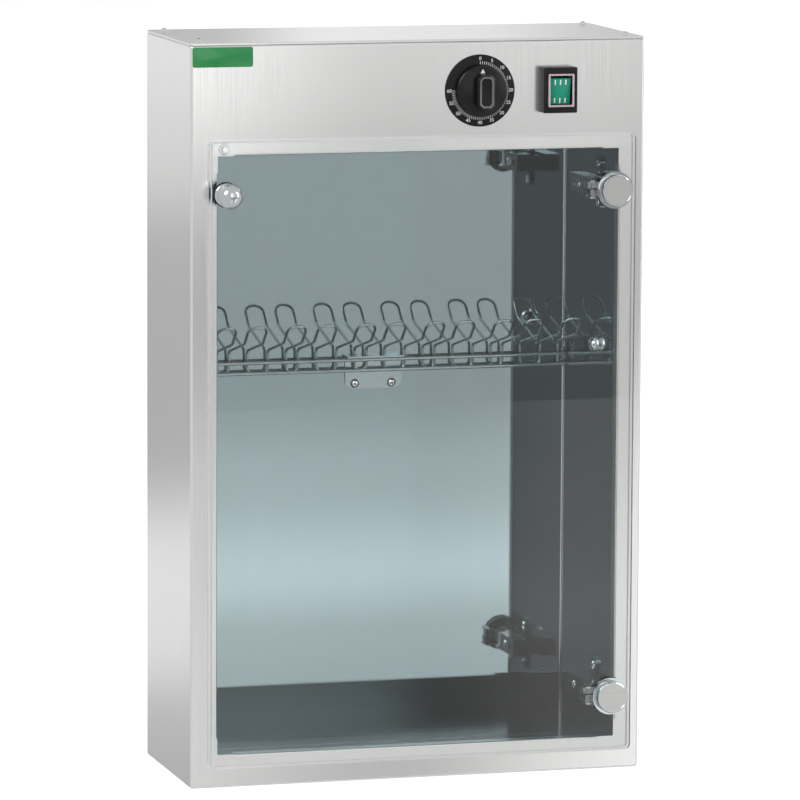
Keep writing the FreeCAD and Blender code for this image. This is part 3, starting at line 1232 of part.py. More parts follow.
def internal_wires():
    """Return the wires between the lamp, its gear, the timer and the switches."""
    (left_x, holder_y), (right_x, _), (door_x, door_y) = wire_hole_places()
    holder_face = LAMP_L / 2 + LAMP_CAP_L + HOLDER[0] + WIRE_TAKEOFF
    holder_z = SHELF_Z - 1.2 * WIRE_LOOP_R
    low = SHELF_TOP + TERMINAL_BLOCK[2] / 4
    terminal_y = TERMINAL_Y - TERMINAL_BLOCK[1] / 2 - WIRE_TAKEOFF
    ballast_front = BALLAST_Y - BALLAST[1] / 2 - WIRE_TAKEOFF
    ballast_end = BALLAST_X + BALLAST[0] / 2 - BALLAST_FOOT + WIRE_TAKEOFF
    socket_end = STARTER_X - STARTER_SOCKET[0] / 2 - WIRE_TAKEOFF
    socket_front = STARTER_Y - STARTER_SOCKET[1] / 2 - WIRE_TAKEOFF
    socket_z = SHELF_TOP + STARTER_SOCKET[2] / 2
    timer_rear = FRONT + SHEET + FIT + TIMER_BODY[1] + WIRE_TAKEOFF
    timer_side = TIMER_X - TIMER_BODY[0] / 2 - WIRE_TAKEOFF
    tab_rear = FRONT + SWITCH_BODY[1] + TERMINAL_TAB[1] + WIRE_TAKEOFF
    tab_x = SWITCH_BODY[0] / 4
    tab_z = SWITCH_BODY[2] / 4
    switch_top = PLUNGER_Z + MICRO_BODY[2] - BUSH_R + WIRE_TAKEOFF
    step = WIRE_STEP
    gap = WIRE_STAND_OFF
    high = socket_z + 2 * step
    upper_z = CONTROLS_Z + tab_z
    lower_z = CONTROLS_Z - tab_z
    door_z = CONTROLS_Z - 2 * step
    terminal_x = TERMINAL_X + TERMINAL_PITCH
    routes = [
        [V(holder_face, holder_y, holder_z), V(right_x, holder_y, holder_z), V(right_x, holder_y, low),
         V(terminal_x, holder_y, low), V(terminal_x, terminal_y, low)],
        [V(-holder_face, holder_y, holder_z), V(left_x, holder_y, holder_z), V(left_x, holder_y, low),
         V(BALLAST_X, holder_y, low), V(BALLAST_X, ballast_front, low)],
        [V(socket_end, STARTER_Y - step, socket_z), V(socket_end - gap, STARTER_Y - step, socket_z),
         V(socket_end - gap, STARTER_Y + step, high), V(ballast_end, STARTER_Y + step, high)],
        [V(TIMER_X + 2 * step, timer_rear, upper_z), V(TIMER_X + 2 * step, timer_rear + gap, upper_z),
         V(SWITCH_X - tab_x, timer_rear + gap, upper_z), V(SWITCH_X - tab_x, tab_rear, upper_z)],
        [V(SWITCH_X + tab_x, tab_rear, lower_z), V(SWITCH_X + tab_x, tab_rear + 1.5 * gap, lower_z),
         V(TERMINAL_X, terminal_y - gap, low), V(TERMINAL_X, terminal_y, low)],
        [V(STARTER_X + step, socket_front, socket_z), V(STARTER_X + step, socket_front - 1.5 * gap, socket_z),
         V(TIMER_X - 2 * step, timer_rear + 1.5 * gap, CONTROLS_Z), V(TIMER_X - 2 * step, timer_rear,
                                                                      CONTROLS_Z)],
        [V(door_x, door_y, switch_top), V(door_x, door_y, door_z), V(timer_side, door_y, door_z)],
    ]
    return group([tube_along(wire_edges(route, [WIRE_LOOP_R] * len(route)), WIRE_INSULATION_R)
                  for route in routes])


def at_both_hinges(make):
    """Return the like solids of the lower and the upper hinge as one sub-part."""
    return group([make(z) for z in HINGES.values()])


PARTS = {
    "front_panel": front_panel,
    "left_side": lambda: side_panel(-1),
    "right_side": lambda: side_panel(1),
    "base_plate": base_plate,
    "top_cover": top_cover,
    "top_cover_screws": top_cover_screws,
    "floor_pan": floor_pan,
    "back_panel": back_panel,
    "left_lining": lambda: side_lining(-1),
    "right_lining": lambda: side_lining(1),
    "lining_nuts": lambda: group([lining_nut(-1), lining_nut(1)]),
    "lamp_shelf": lamp_shelf,
    "reflector": reflector,
    "uv_tube": uv_tube,
    "lamp_caps": lambda: group([lamp_cap(-1), lamp_cap(1)]),
    "left_lamp_holder": lambda: lamp_holder(-1),
    "right_lamp_holder": lambda: lamp_holder(1),
    "ballast": ballast,
    "ballast_screws": ballast_screws,
    "starter_socket": starter_socket,
    "starter": starter,
    "terminal_block": terminal_block,
    "internal_wires": internal_wires,
    "earth_stud": earth_stud,
    "cable_gland": cable_gland,
    "gland_locknut": gland_locknut,
    "timer_body": timer_body,
    "timer_dial_plate": timer_dial_plate,
    "timer_nut": timer_nut,
    "timer_shaft": timer_shaft,
    "timer_knob": timer_knob,
    "switch_housing": switch_housing,
    "switch_rocker": switch_rocker,
    "switch_cover": switch_cover,
    "label_plate": label_plate,
    "door_switch_body": door_switch_body,
    "door_switch_bush": door_switch_bush,
    "door_switch_plunger": door_switch_plunger,
    "door_panel": door_panel,
    "door_knob": door_knob,
    "knob_seal": knob_seal,
    "knob_screw": knob_screw,
    "cup_seals": lambda: at_both_hinges(cup_seal),
    "outer_hinge_links": lambda: at_both_hinges(outer_link),
    "inner_hinge_links": lambda: at_both_hinges(inner_link),
    "cup_pins": cup_pins,
    "arm_pins": arm_pins,
    "hinge_screws": hinge_screws,
    "rack_rails": rack_rails,
    "rack_fingers": rack_fingers,
    "rack_bracket": rack_bracket,
    "bracket_screws": bracket_screws,
}

HINGE_PARTS = {
    "hinge_cup": hinge_cup,
    "hinge_cap": hinge_cap,
    "hinge_arm": hinge_arm,
    "hinge_plate": hinge_plate,
}


def export(node, shape):
    """Write one sub-part and report what it holds."""
    shape.exportStep("parts/" + node + ".step")
    state = "ok" if shape.isValid() else "INVALID"
    print(node, len(shape.Solids), "solids", round(shape.Volume, 1), "mm3", state)


def main():
    """Build every sub-part and write it."""
    os.makedirs("parts", exist_ok=True)
    for node, make in PARTS.items():
        export(node, make())
    for name, make in HINGE_PARTS.items():
        for place, z in HINGES.items():
            export(place + "_" + name, make(z))


main()
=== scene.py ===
import logging
import math
from dataclasses import dataclass, field, replace
from enum import Enum
from typing import Any, Callable, Iterable, Sequence

import bmesh
import bpy
from mathutils import Matrix, Vector


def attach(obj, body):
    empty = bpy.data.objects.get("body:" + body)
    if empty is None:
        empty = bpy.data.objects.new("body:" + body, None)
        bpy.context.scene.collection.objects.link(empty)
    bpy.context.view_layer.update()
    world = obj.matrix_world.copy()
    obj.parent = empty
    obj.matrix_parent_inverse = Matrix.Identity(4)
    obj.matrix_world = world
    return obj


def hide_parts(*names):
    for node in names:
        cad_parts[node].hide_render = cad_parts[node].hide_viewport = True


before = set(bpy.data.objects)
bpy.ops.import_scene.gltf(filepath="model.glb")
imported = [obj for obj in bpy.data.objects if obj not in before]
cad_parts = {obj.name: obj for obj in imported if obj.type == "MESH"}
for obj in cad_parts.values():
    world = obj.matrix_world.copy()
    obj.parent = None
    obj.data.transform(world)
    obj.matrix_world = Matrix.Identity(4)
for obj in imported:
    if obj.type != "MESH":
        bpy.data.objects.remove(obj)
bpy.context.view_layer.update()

LOG = logging.getLogger("sterilizer")
Point = tuple[float, float, float]
Profile = Sequence[tuple[float, float]]
Shape = bmesh.types.BMesh
Tree = bpy.types.NodeTree
Socket = bpy.types.NodeSocket

MM = 0.001
ORIGIN = (0, 0, 0)
UPWARD = (0, 0, 1)
FORWARD = (0, -1, 0)
MERGE_WITHIN = 1e-4
SAME_HEIGHT = 0.01

# Shared settings of every finish's pattern, gloss and relief.
NOISE_ROUGHNESS = 0.55
NOISE_LOW = 0.3
NOISE_HIGH = 0.7
RELIEF_STRENGTH = 0.25
WAVE_STRENGTH = 0.5
COAT_ROUGHNESS = 0.05
EDGE_HIGHLIGHT_ROUGHNESS = 0.25

# How finely round shapes are drawn.
WIRE_BEND_STEP = 9.0
WIRE_SECTION_STEPS = 4
SMALL_ROUND_STEPS = 40
DOME_STEPS = 7
LETTER_CURVE_STEPS = 3
FONT_SIZE_PER_HEIGHT = 1.4

# Cross recess of a screw's head, in millimetres. The recess is drawn as a black cross, which paints the
# shade inside it.
RECESS_WIDTH = 0.55
RECESS_THICK = 0.5
RECESS_BELOW_CROWN = 0.16
RECESS_ROUNDING = 0.08


class Body(Enum):
    """The moving groups that a piece can ride on."""

    CABINET = "cabinet"
    DOOR = "door"
    TIMER_KNOB = "timer_knob_body"
    ROCKER = "rocker_body"


class Grain(Enum):
    """The way that a brushed or rolled grain runs."""

    ALONG_X = (0.01, 1.0, 1.0)
    ALONG_Z = (1.0, 1.0, 0.01)
    NONE = (1.0, 1.0, 1.0)


def linear(colour: str) -> tuple[float, float, float, float]:
    """Turn an sRGB hex colour into linear red, green and blue with a full alpha."""
    channels = [int(colour[i:i + 2], 16) / 255 for i in (1, 3, 5)]
    lit = [c / 12.92 if c <= 0.04045 else ((c + 0.055) / 1.055) ** 2.4 for c in channels]
    return lit[0], lit[1], lit[2], 1.0


def add_node(tree: Tree, kind: str, values: dict[str | int, Any] | None = None,
             links: dict[str | int, Socket] | None = None, **settings: Any) -> bpy.types.Node:
    """Add one shader node with its settings and links.

    Args:
        tree: the node tree.
        kind: the node's type name, after its first part ShaderNode.
        values: socket name or number to constant.
        links: socket name or number to the output that feeds it.
        **settings: attributes set on the node.

    Returns:
        The new node.
    """
    node = tree.nodes.new("ShaderNode" + kind)
    for name, value in settings.items():
        setattr(node, name, value)
    for name, value in (values or {}).items():
        node.inputs[name].default_value = value
    for name, source in (links or {}).items():
        tree.links.new(source, node.inputs[name])
    return node


def maths(tree: Tree, operation: str, first: Socket, second: Socket | float = 0.5) -> Socket:
    """Return what a maths node makes of a value and a second value or a constant, here one half."""
    node = add_node(tree, "Math", links={0: first}, operation=operation)
    if isinstance(second, Socket):
        tree.links.new(second, node.inputs[1])
    else:
        node.inputs[1].default_value = second
    return node.outputs[0]


def mix_shaders(tree: Tree, share: Socket, first: Socket, second: Socket) -> bpy.types.Node:
    """Return a node that goes from the first shader to the second as the share goes from 0 to 1."""
    return add_node(tree, "MixShader", links={"Fac": share, 1: first, 2: second})


def facing_rear(tree: Tree) -> Socket:
    """Return how far a surface faces the rear, from -1 to 1, on the piece's own axes."""
    place = add_node(tree, "TexCoord")
    parts = add_node(tree, "SeparateXYZ", links={"Vector": place.outputs["Normal"]})
    return parts.outputs["Y"]


def already_reflected(tree: Tree) -> Socket:
    """Return 1 for rays that a shiny surface has already reflected, and otherwise 0."""
    path = add_node(tree, "LightPath")
    return maths(tree, "GREATER_THAN", path.outputs["Glossy Depth"])


def new_material(name: str) -> bpy.types.Material:
    """Return a new material with an empty node tree."""
    made = bpy.data.materials.new(name)
    made.use_nodes = True
    made.node_tree.nodes.clear()
    return made


def new_object(name: str, data: bpy.types.ID) -> bpy.types.Object:
    """Return a new object in the scene."""
    made = bpy.data.objects.new(name, data)
    bpy.context.scene.collection.objects.link(made)
    return made


@dataclass(frozen=True)
class Finish:
    """A surface with one base colour, a fine pattern in its colour and gloss, and a fine relief.

    Attributes:
        name: the material's name.
        colour: its sRGB colour.
        fleck: the colour that the fine pattern brings in.
        roughness: its middle roughness.
        roughness_swing: how far the pattern moves the roughness to each side.
        pattern_mm: the size of one patch of the pattern.
        relief_mm: the height of the relief.
        grain: the way that the pattern is drawn out.
    """

    name: str
    colour: str
    fleck: str
    roughness: float
    roughness_swing: float
    pattern_mm: float
    relief_mm: float = 0.01
    grain: Grain = Grain.NONE
    metallic: float = 0.0
    ior: float = 1.5
    transmission: float = 0.0
    coat: float = 0.0

    def material(self) -> bpy.types.Material:
        """Return this finish's material, made the first time that it is asked for."""
        found = bpy.data.materials.get(self.name)
        if found:
            return found
        made = new_material(self.name)
        shader = self.shader(made.node_tree)
        add_node(made.node_tree, "OutputMaterial", links={"Surface": shader.outputs[0]})
        return made

    def pattern(self, tree: Tree, size_mm: float, detail: float = 3.0) -> Socket:
        """Return a noise on the piece's own coordinates, one patch being size_mm across the grain."""
        place = add_node(tree, "TexCoord")
        per_metre = 1.0 / (size_mm * MM)
        scale = tuple(per_metre * part for part in self.grain.value)
        turned = add_node(tree, "Mapping", {"Scale": scale}, {"Vector": place.outputs["Object"]})
        noise = add_node(tree, "TexNoise", {"Scale": 1.0, "Detail": detail, "Roughness": NOISE_ROUGHNESS},
                         {"Vector": turned.outputs["Vector"]})
        return noise.outputs["Fac"]

    def shader(self, tree: Tree) -> bpy.types.Node:
        """Wire the surface shader and return it."""
        fine = self.pattern(tree, self.pattern_mm)
        tone = add_node(tree, "Mix", {"A": linear(self.colour), "B": linear(self.fleck)}, data_type="RGBA")
        tree.links.new(fine, tone.inputs["Factor"])
        gloss = add_node(tree, "MapRange", {
            "From Min": NOISE_LOW, "From Max": NOISE_HIGH,
            "To Min": max(0.0, self.roughness - self.roughness_swing),
            "To Max": self.roughness + self.roughness_swing}, {"Value": fine})
        relief = add_node(tree, "Bump", {"Strength": RELIEF_STRENGTH, "Distance": self.relief_mm * MM},
                          {"Height": fine})
        return add_node(tree, "BsdfPrincipled", {
            "Metallic": self.metallic, "IOR": self.ior, "Transmission Weight": self.transmission,
            "Coat Weight": self.coat, "Coat Roughness": COAT_ROUGHNESS}, {
            "Base Color": tone.outputs["Result"], "Roughness": gloss.outputs["Result"],
            "Normal": relief.outputs["Normal"]})


@dataclass(frozen=True)
class Metal(Finish):
    """A metal surface, bare or plated."""

    metallic: float = 1.0


@dataclass(frozen=True)
class RolledMirror(Metal):
    """Bright annealed stainless sheet: a mirror with the long, shallow waves of thin rolled sheet."""

    wave_mm: float = 160.0
    wave_height_mm: float = 0.12
    rear_colour: str = ""

    def shader(self, tree: Tree) -> bpy.types.Node:
        """Wire the mirror with slow waves as its relief. Where a rear colour is given, rear faces take that
        plain grey and the other faces keep the painted blue-green tint of the base colour.
        """
        shader = super().shader(tree)
        if self.rear_colour:
            # Rear faces get the plain steel grey. Faces toward the chamber keep the base colour's painted
            # blue-green light.
            rear = maths(tree, "GREATER_THAN", facing_rear(tree))
            inside = shader.inputs["Base Color"].links[0].from_socket
            tone = add_node(tree, "Mix", {"B": linear(self.rear_colour)}, {"Factor": rear, "A": inside},
                            data_type="RGBA")
            tree.links.new(tone.outputs["Result"], shader.inputs["Base Color"])
        slow = self.pattern(tree, self.wave_mm, 1.0)
        wave = add_node(tree, "Bump", {"Strength": WAVE_STRENGTH, "Distance": self.wave_height_mm * MM},
                        {"Height": slow})
        tree.links.new(wave.outputs["Normal"], shader.inputs["Normal"])
        return shader


@dataclass(frozen=True)
class EdgedSheet(Finish):
    """A clear sheet that faces along Y, with a painted white highlight on its edges."""

    edge_colour: str = "#F2F5F5"
    edge_share: float = 0.6

    def shader(self, tree: Tree) -> bpy.types.Node:
        """Wire the clear faces and mix in a white matt shader, a painted highlight, where the surface looks
        sideways.
        """
        clear = super().shader(tree)
        square_on = maths(tree, "ABSOLUTE", facing_rear(tree))
        share = maths(tree, "MULTIPLY", maths(tree, "LESS_THAN", square_on), self.edge_share)
        # A white matt shader on the edges paints in their highlight.
        white = add_node(tree, "BsdfPrincipled",
                         {"Base Color": linear(self.edge_colour), "Roughness": EDGE_HIGHLIGHT_ROUGHNESS})
        return mix_shaders(tree, share, clear.outputs[0], white.outputs[0])


# Number 4 brushed 304 stainless: a soft reflection, drawn out across a fine one-way grain.
# The real grain is 0.1 mm wide, too fine to show, so it is drawn about eight times as coarse.
BRUSHED_CASE = Metal("brushed_stainless_upright", "#EDEDEC", "#E6E6E5", 0.22, 0.03, 0.8, 0.0012,
                     Grain.ALONG_Z)
BRUSHED_COVER = Metal("brushed_stainless_crosswise", "#EAEAE9", "#E2E2E1", 0.25, 0.03, 0.8, 0.0012,
                      Grain.ALONG_X)
# Bright annealed stainless linings: mirrors whose base colour carries a painted blue-green tint, which
# stands in for the light of the lamp's glass reflected round the chamber.
MIRROR_LINING = RolledMirror("bright_annealed_stainless", "#AEBFC3", "#A8BBC0", 0.035, 0.015, 3.0,
                             grain=Grain.ALONG_Z)
# The back panel is the same sheet, with the same painted blue-green tint on its chamber side. Its rear face
# has no lamp glass near it, so it stays a plain grey.
MIRROR_BACK = replace(MIRROR_LINING, name="bright_annealed_back_panel", rear_colour="#C6C8C8")
# The floor pan is the same sheet, rougher, with a darker base colour that paints in the shade on the
# chamber's floor, and the same faint painted blue-green tint.
MIRROR_FLOOR = RolledMirror("bright_annealed_floor", "#8C9496", "#868F92", 0.16, 0.04, 3.0,
                            grain=Grain.ALONG_X)
# Buffed and nickel-plated steel: sharp highlights with faint polishing haze.
POLISHED = Metal("nickel_plated_steel", "#E8E8E6", "#DFDFDC", 0.09, 0.03, 2.5, 0.002)
# Hard chrome on turned steel: deep reflections, a little darker than brushed steel.
CHROME = Metal("chromed_turned_steel", "#CCD0D1", "#C4C9CA", 0.07, 0.02, 2.5, 0.002)
# Bright-drawn wire: dark to the eye, with sharp lines of light along it. Its darkened blue-green base
# colour is a painted reflection of the dark chamber round it.
BRIGHT_WIRE = Metal("bright_drawn_wire", "#A4B0B0", "#98A4A5", 0.10, 0.03, 1.5, 0.004)
# Cold-rolled stainless of the wall bracket, a little paler than the mirror behind it, with the linings'
# painted blue-green tint.
BRACKET_STEEL = Metal("cold_rolled_bracket", "#BCCBCE", "#B2C2C5", 0.16, 0.04, 2.0, 0.004)
# Nickel plate on the pressed hinge plates, dull beside the linings, with the same painted blue-green tint
# as the linings.
HINGE_NICKEL = Metal("nickel_plated_pressing", "#94A0A1", "#8A9697", 0.14, 0.04, 2.0, 0.004)
# Linished steel face: a soft, even grey with a hairline grain.
SATIN_FACE = Metal("satin_linished_steel", "#D0D0CE", "#C4C4C2", 0.32, 0.05, 0.6, 0.004, Grain.ALONG_X)
# Zinc plate over pressed steel: dull silver with a slight mottle.
ZINC = Metal("zinc_plated_steel", "#BFC2C4", "#A9ADB0", 0.38, 0.08, 4.0, 0.01)
# Bright anodised aluminium reflector.
ANODISED = Metal("bright_anodised_aluminium", "#E4E7E8", "#D8DCDE", 0.18, 0.04, 1.5, 0.003)
# Cast acrylic sheet: clear, with a breath of polishing haze on the faces and a painted white highlight on
# its polished edges.
ACRYLIC = EdgedSheet("clear_cast_acrylic", "#FFFFFF", "#FDFFFE", 0.012, 0.01, 30.0, 0.0005, ior=1.49,
                     transmission=1.0)
# Soda glass of the lamp, which passes the ultraviolet light.
LAMP_GLASS = Finish("uv_passing_glass", "#EAF6FA", "#E2F1F7", 0.02, 0.01, 20.0, 0.001, transmission=0.9)
# Moulded nylon of the switch and the timer's case: near black with a fine spark-eroded texture.
BLACK_NYLON = Finish("black_moulded_nylon", "#080808", "#0D0D0D", 0.36, 0.06, 0.5, 0.02, ior=1.38)
# Phenolic moulding of the timer knob: black, half gloss.
PHENOLIC = Finish("black_moulded_phenolic", "#070708", "#0C0C0D", 0.30, 0.05, 0.6, 0.012, ior=1.38)
# The same moulding with a lighter grey on its raised rim: a painted highlight where the rim catches the
# light.
PHENOLIC_RIM_HIGHLIGHT = Finish("phenolic_rim_painted_highlight", "#68686A", "#5C5C5E", 0.24, 0.05, 0.6, 0.012)
# Black anodised aluminium of the dial plate.
DIAL_BLACK = Finish("black_anodised_dial", "#060606", "#0A0A0B", 0.42, 0.06, 0.4, 0.006, ior=1.36)
# Screen-printed white ink: matt, slightly uneven.
WHITE_INK = Finish("white_screen_ink", "#F4F4F2", "#E8E8E6", 0.55, 0.08, 0.5, 0.004)
# Translucent green polycarbonate of the rocker, lit from behind by its neon.
GREEN_LENS = Finish("green_polycarbonate", "#058A6C", "#0A9678", 0.24, 0.04, 1.6, 0.02, ior=1.42, coat=0.1)
# Soft clear silicone splash cover with a pinkish cast.
SILICONE = Finish("clear_silicone_cover", "#F6E0E6", "#F0D4DC", 0.12, 0.04, 2.0, 0.01, ior=1.41,
                  transmission=0.45)
# Moulded elastomer washers and seals. The same black also paints the shade inside the screws' cross
# recesses.
BLACK_RUBBER_AND_RECESS_SHADE = Finish("black_elastomer_and_recess_shade", "#0C0C0C", "#121212", 0.62, 0.08, 0.5, 0.02)
# White glass-filled plastic of the lamp holders, starter and terminals.
WHITE_PLASTIC = Finish("white_moulded_plastic", "#E9E8E2", "#DEDDD6", 0.42, 0.06, 0.6, 0.02)
# Dipped varnish over laminated steel.
VARNISH = Finish("dipped_black_varnish", "#1B1B1E", "#26262A", 0.38, 0.08, 0.7, 0.05, Grain.ALONG_X,
                 metallic=0.2, coat=0.3)
# Extruded insulation of the internal wires.
INSULATION = Finish("extruded_insulation", "#CFCBC0", "#C4C0B4", 0.45, 0.06, 0.8, 0.01)
# Turned brass of the earth stud.
BRASS = Metal("turned_brass", "#C9A84F", "#B99843", 0.25, 0.06, 0.5, 0.004)
# Printed green film under a clear layer.
GREEN_FILM = Finish("green_printed_film", "#0B7A3B", "#0D8342", 0.28, 0.05, 1.2, 0.004, coat=0.5)

# The solids that are carried over as they are, by finish.
CARRIED_OVER = (
    (BRUSHED_CASE, ("front_panel", "left_side", "right_side")),
    (BRUSHED_COVER, ("base_plate", "top_cover")),
    (MIRROR_LINING, ("left_lining", "right_lining")),
    (MIRROR_BACK, ("back_panel",)),
    (MIRROR_FLOOR, ("floor_pan",)),
    (BRACKET_STEEL, ("rack_bracket",)),
    (ACRYLIC, ("door_panel",)),
    (CHROME, ("lower_hinge_cup", "upper_hinge_cup")),
    (HINGE_NICKEL, ("lower_hinge_plate", "upper_hinge_plate")),
    (POLISHED, ("lower_hinge_arm", "upper_hinge_arm", "knob_screw", "door_switch_plunger", "lamp_caps")),
    (ZINC, ("outer_hinge_links", "inner_hinge_links", "cup_pins", "arm_pins", "timer_nut", "timer_shaft",
            "lamp_shelf", "ballast_screws")),
    (BLACK_RUBBER_AND_RECESS_SHADE, ("knob_seal", "cup_seals")),
    (BLACK_NYLON, ("timer_body", "door_switch_body", "cable_gland", "gland_locknut")),
    (LAMP_GLASS, ("uv_tube",)),
    (ANODISED, ("reflector",)),
    (WHITE_PLASTIC, ("left_lamp_holder", "right_lamp_holder", "starter_socket", "starter",
                     "terminal_block")),
    (VARNISH, ("ballast",)),
    (INSULATION, ("internal_wires",)),
    (BRASS, ("earth_stud",)))


def dress_solids() -> None:
    """Give the carried-over solids their finishes."""
    for finish, nodes in CARRIED_OVER:
        for node in nodes:
            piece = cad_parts[node]
            piece.data.materials.clear()
            piece.data.materials.append(finish.material())
            LOG.info("%s: %s", node, finish.name)


def make_piece(bm: Shape, name: str, finishes: Sequence[Finish], replaced: Sequence[str] = (),
               body: Body = Body.CABINET, smooth_below: float = 32.0) -> None:
    """Turn a bmesh in millimetres into a shaded piece of the object.

    Args:
        bm: the shape, in millimetres, which is used up.
        name: the piece's name.
        finishes: its finishes, in the order of the faces' material numbers.
        replaced: the solids that it stands for.
        body: what it moves with.
        smooth_below: edges flatter than this many degrees are shaded smooth.
    """
    bmesh.ops.scale(bm, vec=(MM, MM, MM), verts=bm.verts)
    bmesh.ops.recalc_face_normals(bm, faces=bm.faces)
    mesh = bpy.data.meshes.new(name)
    bm.to_mesh(mesh)
    bm.free()
    mesh.shade_smooth()
    mesh.set_sharp_from_angle(angle=math.radians(smooth_below))
    for finish in finishes:
        mesh.materials.append(finish.material())
    piece = new_object(name, mesh)
    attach(piece, body.value)
    if replaced:
        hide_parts(*replaced)
    LOG.info("%s: %d faces on %s", name, len(mesh.polygons), body.value)


def paint_faces(faces: Iterable[bmesh.types.BMFace]) -> None:
    """Give faces the second finish in their piece's list."""
    for face in faces:
        face.material_index = 1


def move(bm: Shape, by: Point) -> None:
    """Shift a whole shape."""
    bmesh.ops.translate(bm, vec=by, verts=bm.verts)


def turn(bm: Shape, degrees: float, axis: str, centre: Point = ORIGIN) -> None:
    """Turn a whole shape about a line through a centre along X, Y or Z."""
    matrix = Matrix.Rotation(math.radians(degrees), 3, axis)
    bmesh.ops.rotate(bm, cent=centre, matrix=matrix, verts=bm.verts)


def bevel(bm: Shape, edges: Sequence[bmesh.types.BMEdge], width: float, segments: int) -> None:
    """Round the given edges of a shape."""
    bmesh.ops.bevel(bm, geom=edges, offset=width, offset_type="OFFSET", affect="EDGES", segments=segments,
                    profile=0.5, material=-1, clamp_overlap=True)


def soften(bm: Shape, width: float, segments: int = 3, sharper_than: float = 35.0,
           where: Callable[[Vector], bool] | None = None) -> None:
    """Round the sharp edges of a shape.

    Args:
        bm: the shape.
        width: how far back the rounding reaches, in millimetres.
        segments: faces across the rounding.
        sharper_than: only edges that turn by more degrees than this.
        where: an optional test on an edge's middle.
    """
    limit = math.radians(sharper_than)
    edges = [edge for edge in bm.edges if len(edge.link_faces) == 2 and edge.calc_face_angle(0.0) > limit]
    if where:
        edges = [edge for edge in edges if where((edge.verts[0].co + edge.verts[1].co) / 2)]
    bevel(bm, edges, width, segments)


def block(size: Point, centre: Point) -> Shape:
    """Return a box of a size about a centre, in millimetres."""
    bm = bmesh.new()
    bmesh.ops.create_cube(bm, size=1.0)
    bmesh.ops.scale(bm, vec=size, verts=bm.verts)
    move(bm, centre)
    return bm


def aim(bm: Shape, origin: Point, axis: Point) -> None:
    """Turn a shape made along +Z to an axis and put its foot at an origin."""
    facing = Vector(UPWARD).rotation_difference(Vector(axis)).to_matrix()
    bmesh.ops.rotate(bm, cent=ORIGIN, matrix=facing, verts=bm.verts)
    move(bm, origin)


def turn_profile(profile: Profile, origin: Point = ORIGIN, axis: Point = UPWARD,
                 steps: int = SMALL_ROUND_STEPS, closed: bool = False) -> Shape:
    """Spin a profile into a turned piece.

    Args:
        profile: (radius, height) points.
        origin: where height 0 lies.
        axis: the way that height runs.
        steps: faces round the piece.
        closed: whether the profile is a loop, as for a ring.

    Returns:
        The turned shape.
    """
    bm = bmesh.new()
    verts = [bm.verts.new((radius, 0, height)) for radius, height in profile]
    ends = list(zip(verts, verts[1:]))
    if closed:
        ends.append((verts[-1], verts[0]))
    edges = [bm.edges.new(pair) for pair in ends]
    bmesh.ops.spin(bm, geom=verts + edges, cent=ORIGIN, axis=UPWARD, dvec=ORIGIN,
                   angle=2 * math.pi, steps=steps, use_merge=True, use_duplicate=False)
    bmesh.ops.remove_doubles(bm, verts=bm.verts, dist=MERGE_WITHIN)
    aim(bm, origin, axis)
    bmesh.ops.recalc_face_normals(bm, faces=bm.faces)
    return bm


def merge(parts: Iterable[Shape]) -> Shape:
    """Join shapes into one, each staying its own shell."""
    whole = bmesh.new()
    for part in parts:
        scratch = bpy.data.meshes.new("scratch")
        part.to_mesh(scratch)
        part.free()
        whole.from_mesh(scratch)
        bpy.data.meshes.remove(scratch)
    return whole


def extrude_outline(outline: Sequence[Point], direction: Point) -> Shape:
    """Return the closed shape swept by an outline along a direction."""
    bm = bmesh.new()
    face = bm.faces.new([bm.verts.new(point) for point in outline])
    swept = bmesh.ops.extrude_face_region(bm, geom=[face])
    moved = [item for item in swept["geom"] if isinstance(item, bmesh.types.BMVert)]
    bmesh.ops.translate(bm, vec=direction, verts=moved)
    bmesh.ops.recalc_face_normals(bm, faces=bm.faces)
    return bm


def wire_route(corners: Sequence[tuple[Vector, float]]) -> list[Vector]:
    """Return the points of a wire's middle line, with its bends drawn in.

    Args:
        corners: each corner, in millimetres, with the bend radius of the middle line there.

    Returns:
        The points in order.
    """
    points = [point for point, _ in corners]
    route = [points[0]]
    for before, (corner, bend), after in zip(points, corners[1:], points[2:]):
        into = (corner - before).normalized()
        out = (after - corner).normalized()
        swing = into.angle(out)
        centre = corner + (out - into).normalized() * (bend / math.cos(swing / 2))
        first = corner - into * (bend * math.tan(swing / 2)) - centre
        axis = into.cross(out).normalized()
        steps = max(3, int(math.degrees(swing) / WIRE_BEND_STEP))
        for step in range(steps + 1):
            route.append(centre + Matrix.Rotation(swing * step / steps, 3, axis) @ first)
    route.append(points[-1])
    return route


def wire_mesh(corners: Sequence[tuple[Vector, float]], radius: float) -> Shape:
    """Return a round wire with closed ends that runs through corner points with their bend radii."""
    route = wire_route(corners)
    curve = bpy.data.curves.new("wire", "CURVE")
    curve.dimensions = "3D"
    curve.bevel_depth = radius
    curve.bevel_resolution = WIRE_SECTION_STEPS
    curve.use_fill_caps = True
    spline = curve.splines.new("POLY")
    spline.points.add(len(route) - 1)
    for target, place in zip(spline.points, route):
        target.co = (place.x, place.y, place.z, 1.0)
    return baked(curve)


def baked(curve: bpy.types.Curve) -> Shape:
    """Return a curve's or text's mesh with doubles merged, and remove the curve."""
    holder = new_object("holder", curve)
    bpy.context.view_layer.update()
    made = bpy.data.meshes.new_from_object(holder.evaluated_get(bpy.context.evaluated_depsgraph_get()))
    bm = bmesh.new()
    bm.from_mesh(made)
    bpy.data.objects.remove(holder)
    bpy.data.curves.remove(curve)
    bpy.data.meshes.remove(made)
    bmesh.ops.remove_doubles(bm, verts=bm.verts, dist=MERGE_WITHIN)
    return bm


